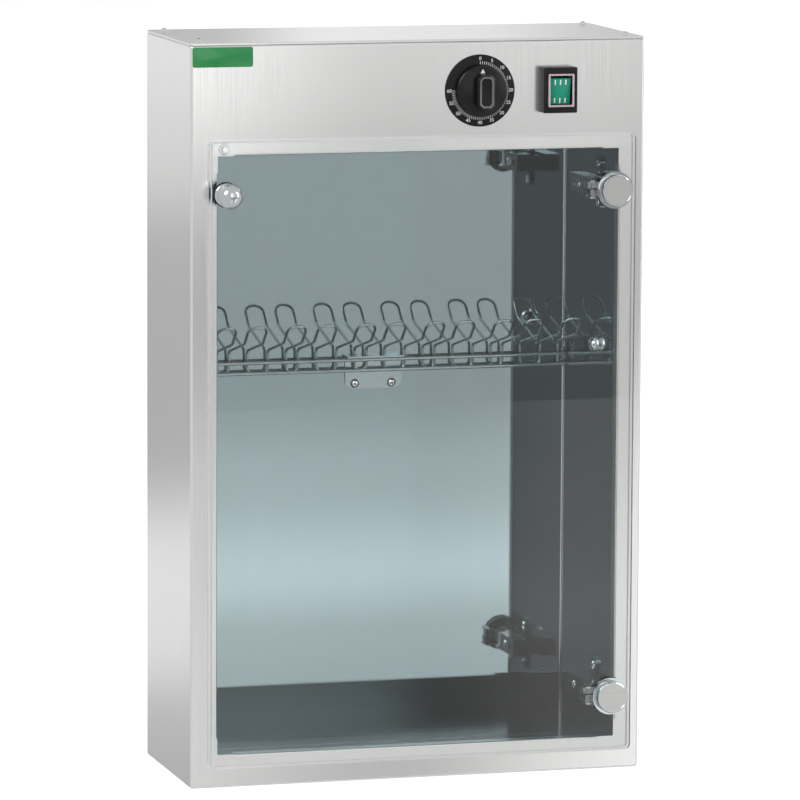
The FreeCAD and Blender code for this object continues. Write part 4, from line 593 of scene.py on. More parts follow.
def lettering(text: str, height: float, centre: Point, thickness: float) -> Shape:
    """Return raised characters that face the viewer, centred on a point."""
    curve = bpy.data.curves.new("characters", "FONT")
    curve.body = text
    curve.size = height * FONT_SIZE_PER_HEIGHT
    curve.align_x = "CENTER"
    curve.align_y = "CENTER"
    curve.extrude = thickness
    curve.resolution_u = LETTER_CURVE_STEPS
    bm = baked(curve)
    turn(bm, 90, "X")
    move(bm, centre)
    return bm


def dome_profile(radius: float, height: float) -> list[tuple[float, float]]:
    """Return the profile of a low dome from its rim to its crown."""
    sphere = (radius ** 2 + height ** 2) / (2 * height)
    reach = math.asin(min(1.0, radius / sphere))
    angles = [reach * (1 - step / DOME_STEPS) for step in range(DOME_STEPS + 1)]
    return [(sphere * math.sin(angle), sphere * math.cos(angle) - sphere + height) for angle in angles]


@dataclass(frozen=True)
class DomedHead:
    """A screw's domed head whose cross-shaped recess is drawn as a black cross, a painted shade.
    Millimetres.

    Attributes:
        radius: the head's radius.
        height: the head's height.
        recess: the recess's reach from the middle.
    """

    radius: float
    height: float
    recess: float

    def at(self, origin: Point, axis: Point) -> Shape:
        """Return the head on a seat whose middle is the origin, facing along an axis."""
        profile = [(0, 0), (self.radius, 0)] + dome_profile(self.radius, self.height)
        parts = [turn_profile(profile)]
        for angle in (0, 90):
            # Each bar of the cross stands just proud of the crown and takes the black second finish:
            # painted shade inside the recess.
            bar = block((2 * self.recess, RECESS_WIDTH, RECESS_THICK),
                        (0, 0, self.height - RECESS_BELOW_CROWN))
            soften(bar, RECESS_ROUNDING, 1)
            turn(bar, angle, "Z")
            paint_faces(bar.faces)
            parts.append(bar)
        bm = merge(parts)
        aim(bm, origin, axis)
        return bm


@dataclass
class Case:
    """What is added to the folded cabinet: the cover's screws and the linings' rear folds. Millimetres."""

    height: float = 620.0
    screw_x: float = 184.0
    screw_y: float = 59.5
    screw_head: DomedHead = DomedHead(3.8, 2.4, 1.6)
    fold_width: float = 1.3
    fold_bow: float = 0.3
    bow_far: float = 1.6
    bow_near: float = 0.6
    lining_x: float = 173.5
    wall_y: float = 75.7
    lining_low: float = 1.8
    lining_high: float = 551.0

    def rear_fold(self, side: int) -> Shape:
        """Return the small hollow fold where a side lining meets the back panel."""
        w = self.fold_width
        far = self.fold_bow * w * self.bow_far
        near = self.fold_bow * w * self.bow_near
        outline = [(0, 0), (-w, 0), (-far, -near), (-near, -far), (0, -w)]
        return extrude_outline([(side * (self.lining_x + x), self.wall_y + y, self.lining_low)
                                for x, y in outline], (0, 0, self.lining_high - self.lining_low))

    def build(self) -> None:
        """Make the rear folds and the cover's four domed screws."""
        make_piece(merge(self.rear_fold(side) for side in (-1, 1)), "lining_rear_folds", [POLISHED])
        heads = [self.screw_head.at((side * self.screw_x, end * self.screw_y, self.height), UPWARD)
                 for side in (-1, 1) for end in (-1, 1)]
        # The screws' second finish is the black that paints the shade in their cross recesses.
        make_piece(merge(heads), "cover_screw_heads", [POLISHED, BLACK_RUBBER_AND_RECESS_SHADE], ["top_cover_screws"])


@dataclass
class LiningNuts:
    """The cap nut on each side lining: a washer, a hexagon and a dome. Millimetres."""

    lining_x: float = 173.5
    y: float = -21.5
    z: float = 355.2
    washer_radius: float = 7.0
    washer_thick: float = 1.0
    washer_chamfer: float = 0.25
    hex_radius: float = 6.2
    hex_height: float = 4.6
    hex_rounding: float = 0.35
    hex_overlap: float = 0.1
    dome_radius: float = 5.2
    dome_height: float = 3.6

    def nut(self, side: int) -> Shape:
        """Return one cap nut that faces into the chamber."""
        washer = turn_profile([(0, 0), (self.washer_radius, 0),
                               (self.washer_radius, self.washer_thick - self.washer_chamfer),
                               (self.washer_radius - self.washer_chamfer, self.washer_thick),
                               (0, self.washer_thick)])
        angles = [math.radians(60 * step + 30) for step in range(6)]
        outline = [(self.hex_radius * math.cos(angle), self.hex_radius * math.sin(angle),
                    self.washer_thick - self.hex_overlap) for angle in angles]
        hexagon = extrude_outline(outline, (0, 0, self.hex_height - self.washer_thick + self.hex_overlap))
        soften(hexagon, self.hex_rounding, 2, sharper_than=25)
        dome = turn_profile([(0, 0)] + dome_profile(self.dome_radius, self.dome_height),
                            (0, 0, self.hex_height))
        whole = merge([washer, hexagon, dome])
        aim(whole, (side * self.lining_x, self.y, self.z), (-side, 0, 0))
        return whole

    def build(self) -> None:
        """Make both cap nuts."""
        make_piece(merge(self.nut(side) for side in (-1, 1)), "lining_cap_nuts", [CHROME], ["lining_nuts"])


@dataclass
class Rack:
    """The wire knife rack and the screws of its wall bracket. Millimetres."""

    rail_y: float = 67.7
    rail_radius: float = 1.6
    rail_chamfer: float = 0.3
    rail_steps: int = 24
    rail_upper: float = 335.7
    rail_lower: float = 326.7
    rail_half_length: float = 172.5
    wire_radius: float = 1.2
    first_x: float = -144.0
    fingers: int = 11
    pair_gap: float = 26.5
    pair_spacing: float = 60.6
    width: float = 16.0
    rise: float = 10.4
    run: float = 53.5
    climb: float = 12.7
    tip_run: float = 16.6
    tip_climb: float = 15.7
    foot_bend: float = 4.8
    knee_bend: float = 5.0
    tip_bend: float = 6.0
    bow_bend: float = 7.7
    bracket_x: float = 3.0
    bracket_face: float = 74.2
    screw_spacing: float = 32.5
    screw_z: float = 314.6
    screw_head: DomedHead = DomedHead(4.0, 2.6, 1.7)

    def finger(self, index: int) -> list[tuple[Vector, float]]:
        """Return one finger's corners and bends, from its left foot round its bow to its right foot."""
        x = self.first_x + (index // 2) * self.pair_spacing + (index % 2) * self.pair_gap
        y = self.rail_y + self.rail_radius + self.wire_radius
        knee = self.rail_upper + self.rise
        left = x - self.width / 2
        side = [(Vector((left, y, self.rail_lower)), self.foot_bend),
                (Vector((left, y, knee)), self.knee_bend),
                (Vector((left, y - self.run, knee + self.climb)), self.tip_bend),
                (Vector((left, y - self.run - self.tip_run, knee + self.climb + self.tip_climb)),
                 self.bow_bend)]
        return side + [(Vector((2 * x - point.x, point.y, point.z)), bend)
                       for point, bend in reversed(side)]

    def rails(self) -> list[Shape]:
        """Return the two straight rails with chamfered ends."""
        length = 2 * self.rail_half_length
        r = self.rail_radius
        c = self.rail_chamfer
        profile = [(0, 0), (r - c, 0), (r, c), (r, length - c), (r - c, length), (0, length)]
        return [turn_profile(profile, (-self.rail_half_length, self.rail_y, z), (1, 0, 0), self.rail_steps)
                for z in (self.rail_upper, self.rail_lower)]

    def build(self) -> None:
        """Make the rails, the long bent wire and the bracket's screws."""
        make_piece(merge(self.rails()), "rack_straight_rails", [BRIGHT_WIRE], ["rack_rails"])
        corners = [corner for index in range(self.fingers) for corner in self.finger(index)]
        make_piece(wire_mesh(corners, self.wire_radius), "rack_finger_wire", [BRIGHT_WIRE],
                   ["rack_fingers"], smooth_below=60)
        heads = [self.screw_head.at((self.bracket_x + side * self.screw_spacing / 2, self.bracket_face,
                                     self.screw_z), FORWARD) for side in (-1, 1)]
        # The screws' second finish is the black that paints the shade in their cross recesses.
        make_piece(merge(heads), "bracket_screw_heads", [POLISHED, BLACK_RUBBER_AND_RECESS_SHADE], ["bracket_screws"])


@dataclass
class Door:
    """The clear door's turned knob. Millimetres."""

    face_y: float = -85.5
    knob_x: float = -167.5
    knob_z: float = 496.0
    seal: float = 1.5
    knob_steps: int = 72
    knob_profile: Profile = (
        (0, 0), (9.8, 0), (9.8, 2.2), (9.3, 2.8), (8.4, 3.0), (6.0, 3.6), (5.0, 4.8), (4.7, 6.0),
        (5.0, 7.4), (6.2, 8.9), (8.2, 10.4), (9.7, 12.1), (10.35, 14.1), (10.4, 15.7), (10.1, 17.4),
        (9.1, 19.4), (7.4, 21.2), (5.2, 22.5), (2.7, 23.15), (0, 23.3))

    def build(self) -> None:
        """Make the knob."""
        knob = turn_profile(self.knob_profile, (self.knob_x, self.face_y - self.seal, self.knob_z), FORWARD,
                            self.knob_steps)
        make_piece(knob, "door_turned_knob", [CHROME], ["door_knob"], body=Body.DOOR, smooth_below=50)


@dataclass
class Hinges:
    """The visible parts of the two concealed hinges. Millimetres."""

    cup_x: float = 167.5
    heights: dict[str, float] = field(default_factory=lambda: {"lower": 63.5, "upper": 492.5})
    cap_base: float = -87.1
    cap_radius: float = 13.4
    cap_height: float = 7.5
    cap_wall: float = 0.9
    cap_steps: int = 96
    bevel: float = 1.2
    lip: float = 0.35
    groove: float = 0.55
    sink: float = 0.15
    liner_x: float = 173.5
    plate_thick: float = 2.4
    screw_y: float = -25.5
    screw_step: float = 16.0
    arm_x: float = 154.0
    screw_head: DomedHead = DomedHead(3.6, 1.8, 1.7)

    def cap(self, z: float) -> Shape:
        """Return one round cap: polished rim and bevel, and a satin face a little sunk."""
        r = self.cap_radius
        h = self.cap_height
        b = self.bevel
        bm = turn_profile([(r - self.cap_wall, 0), (r, 0), (r, h - b), (r - self.lip, h - self.lip * b),
                           (r - b, h), (r - b - self.lip, h), (r - b - self.groove, h - self.sink),
                           (0, h - self.sink)], (self.cup_x, self.cap_base, z), FORWARD, self.cap_steps)
        face_y = self.cap_base - h + self.sink
        paint_faces(face for face in bm.faces if abs(face.calc_center_median().y - face_y) < SAME_HEIGHT)
        return bm

    def build(self) -> None:
        """Make the caps and the screw heads."""
        for side, z in self.heights.items():
            make_piece(self.cap(z), side + "_cap_turned", [CHROME, SATIN_FACE], [side + "_hinge_cap"],
                       body=Body.DOOR, smooth_below=25)
        plate_x = self.liner_x - self.plate_thick
        places = ((plate_x, -self.screw_step), (self.arm_x, 0.0), (plate_x, self.screw_step))
        heads = [self.screw_head.at((x, self.screw_y, z + step), (-1, 0, 0))
                 for z in self.heights.values() for x, step in places]
        # The screws' second finish is the black that paints the shade in their cross recesses.
        make_piece(merge(heads), "hinge_screw_heads", [POLISHED, BLACK_RUBBER_AND_RECESS_SHADE], ["hinge_screws"])


@dataclass
class Timer:
    """The timer's dial plate and knob. Millimetres and degrees."""

    x: float = 51.5
    z: float = 577.0
    front: float = -77.5
    dial_radius: float = 30.0
    dial_thick: float = 1.2
    dial_rounding: float = 0.35
    dial_steps: int = 128
    bush_radius: float = 5.05
    skirt_radius: float = 22.0
    skirt_thick: float = 7.0
    skirt_gap: float = 0.8
    skirt_bore: float = 10.2
    skirt_edge: float = 0.4
    skirt_bevel: Profile = ((0.6, 1.6), (1.2, 0.5), (2.2, 0.0))
    skirt_steps: int = 96
    grip_width: float = 15.0
    grip_length: float = 29.0
    grip_height: float = 13.0
    grip_root: float = 0.5
    slope_inset: float = 1.6
    slope_drop: float = 2.2
    rim_width: float = 1.7
    crown_sink: float = 1.0
    grip_rounding: float = 0.3
    pointer_tip: float = 18.6
    pointer_base: float = 15.0
    pointer_half_width: float = 2.1
    degrees_per_minute: float = 4.5
    minutes: int = 60
    minutes_per_number: int = 5
    number_radius: float = 26.6
    number_height: float = 2.9
    tick_inner: float = 20.0
    tick_outer: float = 24.4
    tick_width: float = 0.42
    ink_thick: float = 0.06
    ink_sunk: float = 0.02

    def marks(self) -> list[Shape]:
        """Return the printed minute marks and numbers, flat on the dial."""
        face = self.front - self.dial_thick
        half = self.ink_thick / 2
        tick_middle = (self.tick_inner + self.tick_outer) / 2
        ink = []
        for minute in range(self.minutes + 1):
            degrees = self.degrees_per_minute * minute
            way = Vector((math.sin(math.radians(degrees)), 0, math.cos(math.radians(degrees))))
            tick = block((self.tick_width, self.ink_thick, self.tick_outer - self.tick_inner), ORIGIN)
            turn(tick, degrees, "Y")
            move(tick, Vector((self.x, face - self.ink_sunk, self.z)) + way * tick_middle)
            ink.append(tick)
            if minute % self.minutes_per_number == 0:
                place = Vector((self.x, face - half, self.z)) + way * self.number_radius
                ink.append(lettering(str(minute), self.number_height, tuple(place), half))
        return ink

    def dial(self) -> None:
        """Make the dial plate with its printed marks."""
        bush = self.bush_radius
        plate = turn_profile([(bush, 0), (self.dial_radius, 0), (self.dial_radius, self.dial_thick),
                              (bush, self.dial_thick)], (self.x, self.front, self.z), FORWARD,
                             self.dial_steps, closed=True)
        soften(plate, self.dial_rounding, 2, sharper_than=60)
        make_piece(plate, "timer_dial_disc", [DIAL_BLACK], ["timer_dial_plate"])
        make_piece(merge(self.marks()), "timer_dial_numbers", [WHITE_INK])

    def skirt(self, rear: float) -> Shape:
        """Return the knob's round skirt, whose rear lies at a depth."""
        r = self.skirt_radius
        t = self.skirt_thick
        profile = [(self.skirt_bore, 0.0), (r - self.skirt_edge, 0.0), (r, self.skirt_edge)]
        profile += [(r - inward, t - short) for inward, short in self.skirt_bevel]
        return turn_profile(profile + [(0, t)], (self.x, rear, self.z), FORWARD, self.skirt_steps)

    def grip(self, face: float) -> Shape:
        """Return the eight-sided grip on the skirt's face, with sloped shoulders round a raised rim that
        carries a painted highlight.
        """
        half_w = self.grip_width / 2
        half_l = self.grip_length / 2
        cut = half_w / 2
        outline = [(-half_w, -half_l + cut), (-half_w + cut, -half_l), (half_w - cut, -half_l),
                   (half_w, -half_l + cut), (half_w, half_l - cut), (half_w - cut, half_l),
                   (-half_w + cut, half_l), (-half_w, half_l - cut)]
        top = face - self.grip_height
        grip = extrude_outline([(self.x + x, face + self.grip_root, self.z + z) for x, z in outline],
                               (0, -self.grip_height - self.grip_root, 0))
        crown = [part for part in grip.faces if abs(part.calc_center_median().y - top) < SAME_HEIGHT]
        bmesh.ops.inset_region(grip, faces=crown, thickness=self.slope_inset, depth=0.0)
        inner = {vert for part in crown for vert in part.verts}
        shoulder = [vert for vert in grip.verts if abs(vert.co.y - top) < SAME_HEIGHT and vert not in inner]
        bmesh.ops.translate(grip, vec=(0, self.slope_drop, 0), verts=shoulder)
        rim = bmesh.ops.inset_region(grip, faces=crown, thickness=self.rim_width, depth=0.0)
        # The rim's faces take the lighter grey second finish: a painted highlight.
        paint_faces(rim["faces"])
        inner = {vert for part in crown for vert in part.verts}
        bmesh.ops.translate(grip, vec=(0, self.crown_sink, 0), verts=list(inner))
        soften(grip, self.grip_rounding, 2, sharper_than=25)
        return grip

    def knob(self) -> None:
        """Make the skirted knob with its grip and white pointer."""
        rear = self.front - self.dial_thick - self.skirt_gap
        face = rear - self.skirt_thick
        make_piece(merge([self.skirt(rear), self.grip(face)]), "timer_skirted_knob",
                   [PHENOLIC, PHENOLIC_RIM_HIGHLIGHT], ["timer_knob"], body=Body.TIMER_KNOB)
        y = face - self.ink_sunk
        base = self.z + self.pointer_base
        pointer = extrude_outline([(self.x, y, self.z + self.pointer_tip),
                                   (self.x + self.pointer_half_width, y, base),
                                   (self.x - self.pointer_half_width, y, base)], (0, -self.ink_thick, 0))
        make_piece(pointer, "timer_pointer_mark", [WHITE_INK], body=Body.TIMER_KNOB)

    def build(self) -> None:
        """Make the dial and the knob."""
        self.dial()
        self.knob()


@dataclass
class RockerSwitch:
    """The lit rocker switch in its deep bezel under a clear cover. Millimetres and degrees."""

    x: float = 118.0
    z: float = 577.0
    front: float = -77.5
    bezel: Point = (29.0, 13.0, 38.0)
    bezel_rounding: float = 1.1
    window: tuple[float, float] = (19.0, 25.0)
    cover: Point = (22.0, 3.5, 27.4)
    cover_window: tuple[float, float] = (18.4, 24.4)
    cover_proud: float = 2.5
    cover_rounding: float = 0.7
    case: Point = (21.0, 26.0, 30.0)
    case_rounding: float = 0.6
    tab: Point = (0.8, 9.0, 6.3)
    tab_x: float = 5.25
    tab_y: float = 29.5
    tab_z: float = 7.5
    rocker_depth: float = 4.0
    rocker_radius: float = 15.0
    rocker_proud: float = 1.0
    rocker_rounding: float = 0.5
    rocker_gap: tuple[float, float] = (0.35, 1.4)
    dish_bow: tuple[float, float] = (0.2, 0.8)
    heel: tuple[float, float] = (-1.5, 2.5)
    mark: Point = (1.1, 0.5, 4.4)
    mark_step: float = 4.6
    mark_inward: float = 3.4
    mark_proud: float = 0.6
    small_rounding: float = 0.2
    tilt: float = 7.0

    def framed(self, outer: Point, hole: tuple[float, float], y: float) -> Shape:
        """Return a rectangular frame that runs back from y."""
        bm = block(outer, (self.x, y + outer[1] / 2, self.z))
        ends = [face for face in bm.faces if abs(face.normal.y) > 0.5]
        for face in ends:
            bmesh.ops.inset_region(bm, faces=[face], thickness=(outer[0] - hole[0]) / 2, depth=0.0)
            for vert in face.verts:
                vert.co.z = self.z + math.copysign(hole[1] / 2, vert.co.z - self.z)
        loops = [list(face.edges) for face in ends]
        bmesh.ops.delete(bm, geom=ends, context="FACES_ONLY")
        bmesh.ops.bridge_loops(bm, edges=loops[0] + loops[1])
        bmesh.ops.recalc_face_normals(bm, faces=bm.faces)
        return bm

    def rocker(self) -> None:
        """Make the dished green rocker and its raised white marks, tilted to its rest."""
        face = self.front - self.bezel[1] + self.rocker_depth - self.rocker_proud
        pivot = (self.x, self.front - self.bezel[1] + self.rocker_depth + self.rocker_radius / 2, self.z)
        half_w = self.window[0] / 2 - self.rocker_gap[0]
        half_z = self.window[1] / 2 - self.rocker_gap[1]
        shallow, deep = self.dish_bow
        near, far = self.heel
        section = [(face - deep, -half_z), (face - shallow, -half_z / 2), (face, 0.0),
                   (face - shallow, half_z / 2), (face - deep, half_z), (pivot[1] + near, half_z),
                   (pivot[1] + far, half_z / 3), (pivot[1] + far, -half_z / 3), (pivot[1] + near, -half_z)]
        body = extrude_outline([(self.x - half_w, y, self.z + z) for y, z in section], (2 * half_w, 0, 0))
        soften(body, self.rocker_rounding, 3, sharper_than=30)
        marks = []
        for end in (-1, 1):
            for step in (-1, 0, 1):
                mark = block(self.mark, (self.x + step * self.mark_step, face - self.mark_proud,
                                         self.z + end * (half_z - self.mark_inward)))
                soften(mark, self.small_rounding, 2)
                marks.append(mark)
        raised = merge(marks)
        for shape in (body, raised):
            turn(shape, self.tilt, "X", pivot)
        make_piece(body, "switch_rocker_dished", [GREEN_LENS], ["switch_rocker"], body=Body.ROCKER)
        make_piece(raised, "switch_rocker_marks", [WHITE_INK], body=Body.ROCKER)

    def housing(self) -> list[Shape]:
        """Return the deep bezel, the case behind the panel and its four zinc tabs."""
        shell = self.framed(self.bezel, self.window, self.front - self.bezel[1])
        soften(shell, self.bezel_rounding, 4, sharper_than=60,
               where=lambda middle: middle.y < self.front - 0.5)
        case = block(self.case, (self.x, self.front + self.case[1] / 2, self.z))
        soften(case, self.case_rounding, 2)
        parts = [shell, case]
        for side in (-1, 1):
            for end in (-1, 1):
                tab = block(self.tab, (self.x + side * self.tab_x, self.front + self.tab_y,
                                       self.z + end * self.tab_z))
                soften(tab, self.small_rounding, 1)
                paint_faces(tab.faces)
                parts.append(tab)
        return parts

    def build(self) -> None:
        """Make the bezel, cover and rocker."""
        make_piece(merge(self.housing()), "switch_deep_bezel", [BLACK_NYLON, ZINC], ["switch_housing"])
        rim = self.framed(self.cover, self.cover_window, self.front - self.bezel[1] - self.cover_proud)
        soften(rim, self.cover_rounding, 3, sharper_than=60)
        make_piece(rim, "switch_clear_cover", [SILICONE], ["switch_cover"])
        self.rocker()


@dataclass
class DoorSwitch:
    """The chromed bush round the plunger at the opening's upper left corner. Millimetres."""

    x: float = -167.0
    z: float = 532.6
    front: float = -77.5
    bush_radius: float = 3.9
    bush_length: float = 9.0
    bush_steps: int = 48
    bore: float = 2.28
    bore_chamfer: float = 0.4
    rim_radius: float = 4.7
    rim_chamfer: float = 0.5
    proud: float = 1.2

    def build(self) -> None:
        """Make the rounded bush."""
        foot = self.bush_length
        top = foot + self.proud
        bush = turn_profile([(self.bore, 0), (self.bush_radius, 0), (self.bush_radius, foot),
                             (self.rim_radius, foot), (self.rim_radius, foot + self.proud / 2),
                             (self.rim_radius - self.rim_chamfer, top),
                             (self.bore + self.bore_chamfer, top), (self.bore, top - self.bore_chamfer)],
                            (self.x, self.front + foot, self.z), FORWARD, self.bush_steps, closed=True)
        make_piece(bush, "door_switch_round_bush", [CHROME], ["door_switch_bush"])


@dataclass
class Label:
    """The plain green plate at the upper left. Millimetres."""

    low_x: float = -193.5
    size: Point = (51.0, 0.4, 16.5)
    top: float = 616.5
    front: float = -77.5
    corner_radius: float = 1.8

    def build(self) -> None:
        """Make the plate with round corners."""
        width, thick, height = self.size
        plate = block(self.size, (self.low_x + width / 2, self.front - thick / 2, self.top - height / 2))
        corners = [edge for edge in plate.edges
                   if abs(edge.verts[0].co.y - edge.verts[1].co.y) > thick / 2]
        bevel(plate, corners, self.corner_radius, 6)
        soften(plate, thick / 4, 2, sharper_than=60)
        make_piece(plate, "label_plain_plate", [GREEN_FILM], ["label_plate"])


class Run(Enum):
    """The way that a reflected card's tones run, as the number of the coordinate."""

    ACROSS = 0
    UP = 2


class Sight(Enum):
    """Which reflected rays a card shows to, as the test on how often a ray has passed clear pieces."""

    ALL = ("GREATER_THAN", -0.5)
    DIRECT = ("LESS_THAN", 0.5)
    THROUGH_DOOR = ("GREATER_THAN", 0.5)


def flat_sheet(name: str, corners: Sequence[Point], paint: bpy.types.Material) -> bpy.types.Object:
    """Return a new painted sheet with four corners, in the scene."""
    mesh = bpy.data.meshes.new(name)
    mesh.from_pydata(corners, [], [(0, 1, 2, 3)])
    mesh.materials.append(paint)
    return new_object(name, mesh)


@dataclass(frozen=True)
class Card:
    """An upright studio card that only polished and brushed metal sees. Metres.

    Attributes:
        name: the card's name.
        y: where it stands.
        across: its left and right edges.
        up: its bottom and top edges.
        run: the way that its tones run.
        tones: place along the run and grey level in two hex digits, in order.
        strength: what multiplies the tones.
        sight: which reflected rays see it.
    """

    name: str
    y: float
    across: tuple[float, float]
    up: tuple[float, float]
    run: Run
    tones: tuple[tuple[float, str], ...]
    strength: float = 1.0
    sight: Sight = Sight.ALL

    def glow(self, tree: Tree) -> Socket:
        """Return the card's tones as a light that it gives off."""
        place = add_node(tree, "TexCoord")
        parts = add_node(tree, "SeparateXYZ", links={"Vector": place.outputs["Object"]})
        low = self.tones[0][0]
        span = self.tones[-1][0] - low
        along = add_node(tree, "MapRange", {"From Min": low, "From Max": low + span},
                         {"Value": parts.outputs[self.run.value]})
        ramp = add_node(tree, "ValToRGB", links={"Fac": along.outputs["Result"]})
        ramp.color_ramp.interpolation = "EASE"
        for index, (spot, grey) in enumerate(self.tones):
            share = (spot - low) / span
            stop = ramp.color_ramp.elements[index] if index < 2 else ramp.color_ramp.elements.new(share)
            stop.position = share
            stop.color = linear("#" + 3 * grey)
        light = add_node(tree, "Emission", {"Strength": self.strength}, {"Color": ramp.outputs["Color"]})
        return light.outputs[0]

    def paint(self) -> bpy.types.Material:
        """Return the card's material, which shows only to rays that metal has already reflected."""
        made = new_material(self.name)
        tree = made.node_tree
        glow = self.glow(tree)
        clear = add_node(tree, "BsdfTransparent")
        path = add_node(tree, "LightPath")
        test, limit = self.sight.value
        passed = maths(tree, test, path.outputs["Transmission Depth"], limit)
        seen = maths(tree, "MULTIPLY", already_reflected(tree), passed)
        mixed = mix_shaders(tree, seen, clear.outputs[0], glow)
        add_node(tree, "OutputMaterial", links={"Surface": mixed.outputs[0]})
        return made

    def build(self) -> None:
        """Stand the card up."""
        left, right = self.across
        low, high = self.up
        corners = [(x, self.y, z) for x, z in ((left, low), (right, low), (right, high), (left, high))]
        card = flat_sheet(self.name, corners, self.paint())
        card.visible_camera = False
        card.visible_diffuse = False
        card.visible_shadow = False


# The cards in front of the cabinet, and behind it, that its metal mirrors.
CARDS = (
    Card("card_before_fascia", -1.6, (-0.12, 1.4), (0.38, 1.2), Run.ACROSS,
         ((0.10, "FF"), (0.21, "FF"), (0.33, "B8"), (0.42, "A0"), (0.48, "CC"), (0.61, "DA"), (0.72, "B0")),
         1.6),
    Card("card_before_shoulders", -1.6, (-0.12, 1.4), (0.10, 0.38), Run.ACROSS,
         ((0.10, "A8"), (0.44, "A4"), (0.80, "B8")), 1.0, Sight.DIRECT),
    Card("card_before_strips", -1.6, (-0.12, 1.4), (-1.0, 0.10), Run.ACROSS,
         ((0.10, "E6"), (0.24, "CC"), (0.44, "84"), (0.62, "F4"), (0.80, "FF")), 1.25, Sight.DIRECT),
    Card("card_before_chamber", -1.61, (-0.12, 1.4), (-1.0, 0.38), Run.UP,
         ((-0.60, "C4"), (-0.30, "CE"), (-0.21, "D8"), (-0.14, "FA"), (-0.03, "D6"), (0.08, "B9"),
          (0.33, "BC")), 1.2, Sight.THROUGH_DOOR),
    Card("card_dark_side", -1.6, (-1.4, -0.12), (-1.0, 0.62), Run.UP,
         ((-0.60, "64"), (-0.10, "58"), (0.50, "5C")), 1.0, Sight.THROUGH_DOOR),
    Card("card_behind_left", 1.2, (-1.6, -0.12), (-1.0, 0.62), Run.UP,
         ((-0.30, "B8"), (-0.19, "C4"), (-0.12, "F0"), (-0.02, "F4"), (0.09, "BA"), (0.30, "BC"),
          (0.40, "E4"), (0.52, "F4"))),
    Card("card_behind_top", 1.2, (-0.30, 1.4), (0.62, 1.3), Run.ACROSS,
         ((0.06, "C4"), (0.14, "C8"), (0.26, "FF"), (0.42, "F8"), (0.60, "D4"))))


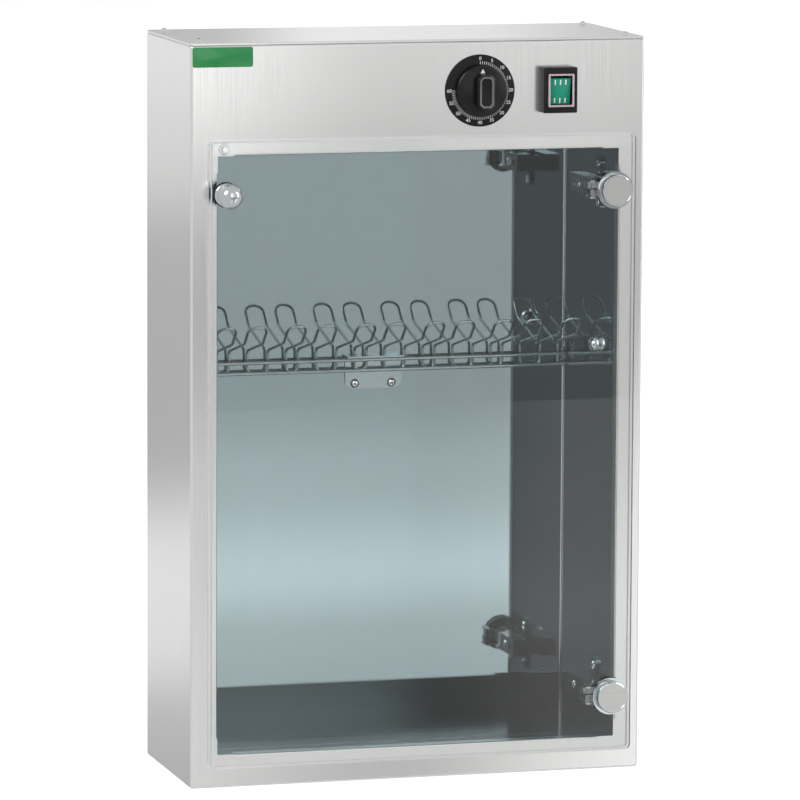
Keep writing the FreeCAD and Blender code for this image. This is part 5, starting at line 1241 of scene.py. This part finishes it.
@dataclass
class Studio:
    """Floor, light, reflected cards and camera. Metres and degrees."""

    camera_at: Point = (-1.371, -4.835, 0.998)
    azimuth: float = 15.9
    elevation: float = 7.8
    roll: float = 0.3
    lens: float = 270.3
    sensor: float = 36.0
    farthest: float = 50.0
    room_strength: float = 0.82
    floor_half_size: float = 9.0
    floor_below: float = 0.0004
    floor_glow: float = 0.45
    lamps: tuple[tuple[str, Point, tuple[float, float], float], ...] = (
        ("key_left", (-2.2, -2.0, 2.4), (1.6, 1.6), 40.0),
        ("fill_right", (2.4, -2.2, 1.2), (1.4, 2.0), 18.0))
    lamps_face: Point = (0, 0, 0.3)

    def see_white(self, tree: Tree, lit: Socket, white: Socket) -> Socket:
        """Mix a lit shader with white, which the camera sees directly and through clear pieces."""
        path = add_node(tree, "LightPath")
        seen = maths(tree, "MAXIMUM", path.outputs["Is Camera Ray"], path.outputs["Is Transmission Ray"])
        return mix_shaders(tree, seen, lit, white).outputs[0]

    def world(self) -> None:
        """Light the room evenly and show white behind the object."""
        world = bpy.data.worlds.new("studio")
        world.use_nodes = True
        tree = world.node_tree
        tree.nodes.clear()
        room = add_node(tree, "Background", {"Color": linear("#F2F3F4"), "Strength": self.room_strength})
        white = add_node(tree, "Background", {"Color": linear("#FFFFFF"), "Strength": 1.0})
        mixed = self.see_white(tree, room.outputs[0], white.outputs[0])
        add_node(tree, "OutputWorld", links={"Surface": mixed})
        bpy.context.scene.world = world

    def floor_paint(self) -> bpy.types.Material:
        """Return a pale paint that blends into the white behind it and isn't there in reflections."""
        paint = new_material("studio_white_paint")
        tree = paint.node_tree
        matt = add_node(tree, "BsdfDiffuse", {"Color": linear("#F8F8F8"), "Roughness": 0.5})
        glow = add_node(tree, "Emission", {"Color": linear("#FFFFFF"), "Strength": self.floor_glow})
        bright = add_node(tree, "AddShader", links={0: matt.outputs[0], 1: glow.outputs[0]})
        mixed = self.see_white(tree, matt.outputs[0], bright.outputs[0])
        gone = add_node(tree, "BsdfTransparent")
        shown = mix_shaders(tree, already_reflected(tree), mixed, gone.outputs[0])
        add_node(tree, "OutputMaterial", links={"Surface": shown.outputs[0]})
        return paint

    def floor(self) -> None:
        """Lay a plain pale floor that takes the object's shadow."""
        half = self.floor_half_size
        square = ((-half, -half), (half, -half), (half, half), (-half, half))
        corners = [(x, y, -self.floor_below) for x, y in square]
        floor = flat_sheet("studio_floor", corners, self.floor_paint())
        floor.visible_glossy = False

    def lamp(self, name: str, at: Point, size: tuple[float, float], power: float) -> None:
        """Hang one soft rectangular lamp that faces the object."""
        light = bpy.data.lights.new(name, "AREA")
        light.shape = "RECTANGLE"
        light.size, light.size_y = size
        light.energy = power
        lamp = new_object(name, light)
        lamp.location = at
        lamp.rotation_euler = (Vector(self.lamps_face) - Vector(at)).to_track_quat("-Z", "Y").to_euler()

    def camera(self) -> None:
        """Stand the camera where the photograph was taken from."""
        data = bpy.data.cameras.new("camera")
        data.lens = self.lens
        data.sensor_width = self.sensor
        data.clip_end = self.farthest
        camera = new_object("camera", data)
        camera.location = self.camera_at
        facing = (Matrix.Rotation(math.radians(-self.azimuth), 4, "Z")
                  @ Matrix.Rotation(math.radians(90 - self.elevation), 4, "X")
                  @ Matrix.Rotation(math.radians(self.roll), 4, "Z"))
        camera.rotation_euler = facing.to_euler()
        bpy.context.scene.camera = camera

    def build(self) -> None:
        """Set the room up."""
        bpy.context.scene.view_settings.view_transform = "Standard"
        self.world()
        self.floor()
        for card in CARDS:
            card.build()
        for lamp in self.lamps:
            self.lamp(*lamp)
        self.camera()


def main() -> None:
    """Build every sub-assembly, then the studio."""
    logging.basicConfig(level=logging.INFO, format="%(message)s")
    dress_solids()
    for unit in (Case(), LiningNuts(), Rack(), Door(), Hinges(), Timer(), RockerSwitch(), DoorSwitch(),
                 Label(), Studio()):
        unit.build()


if __name__ == "__main__":
    main()
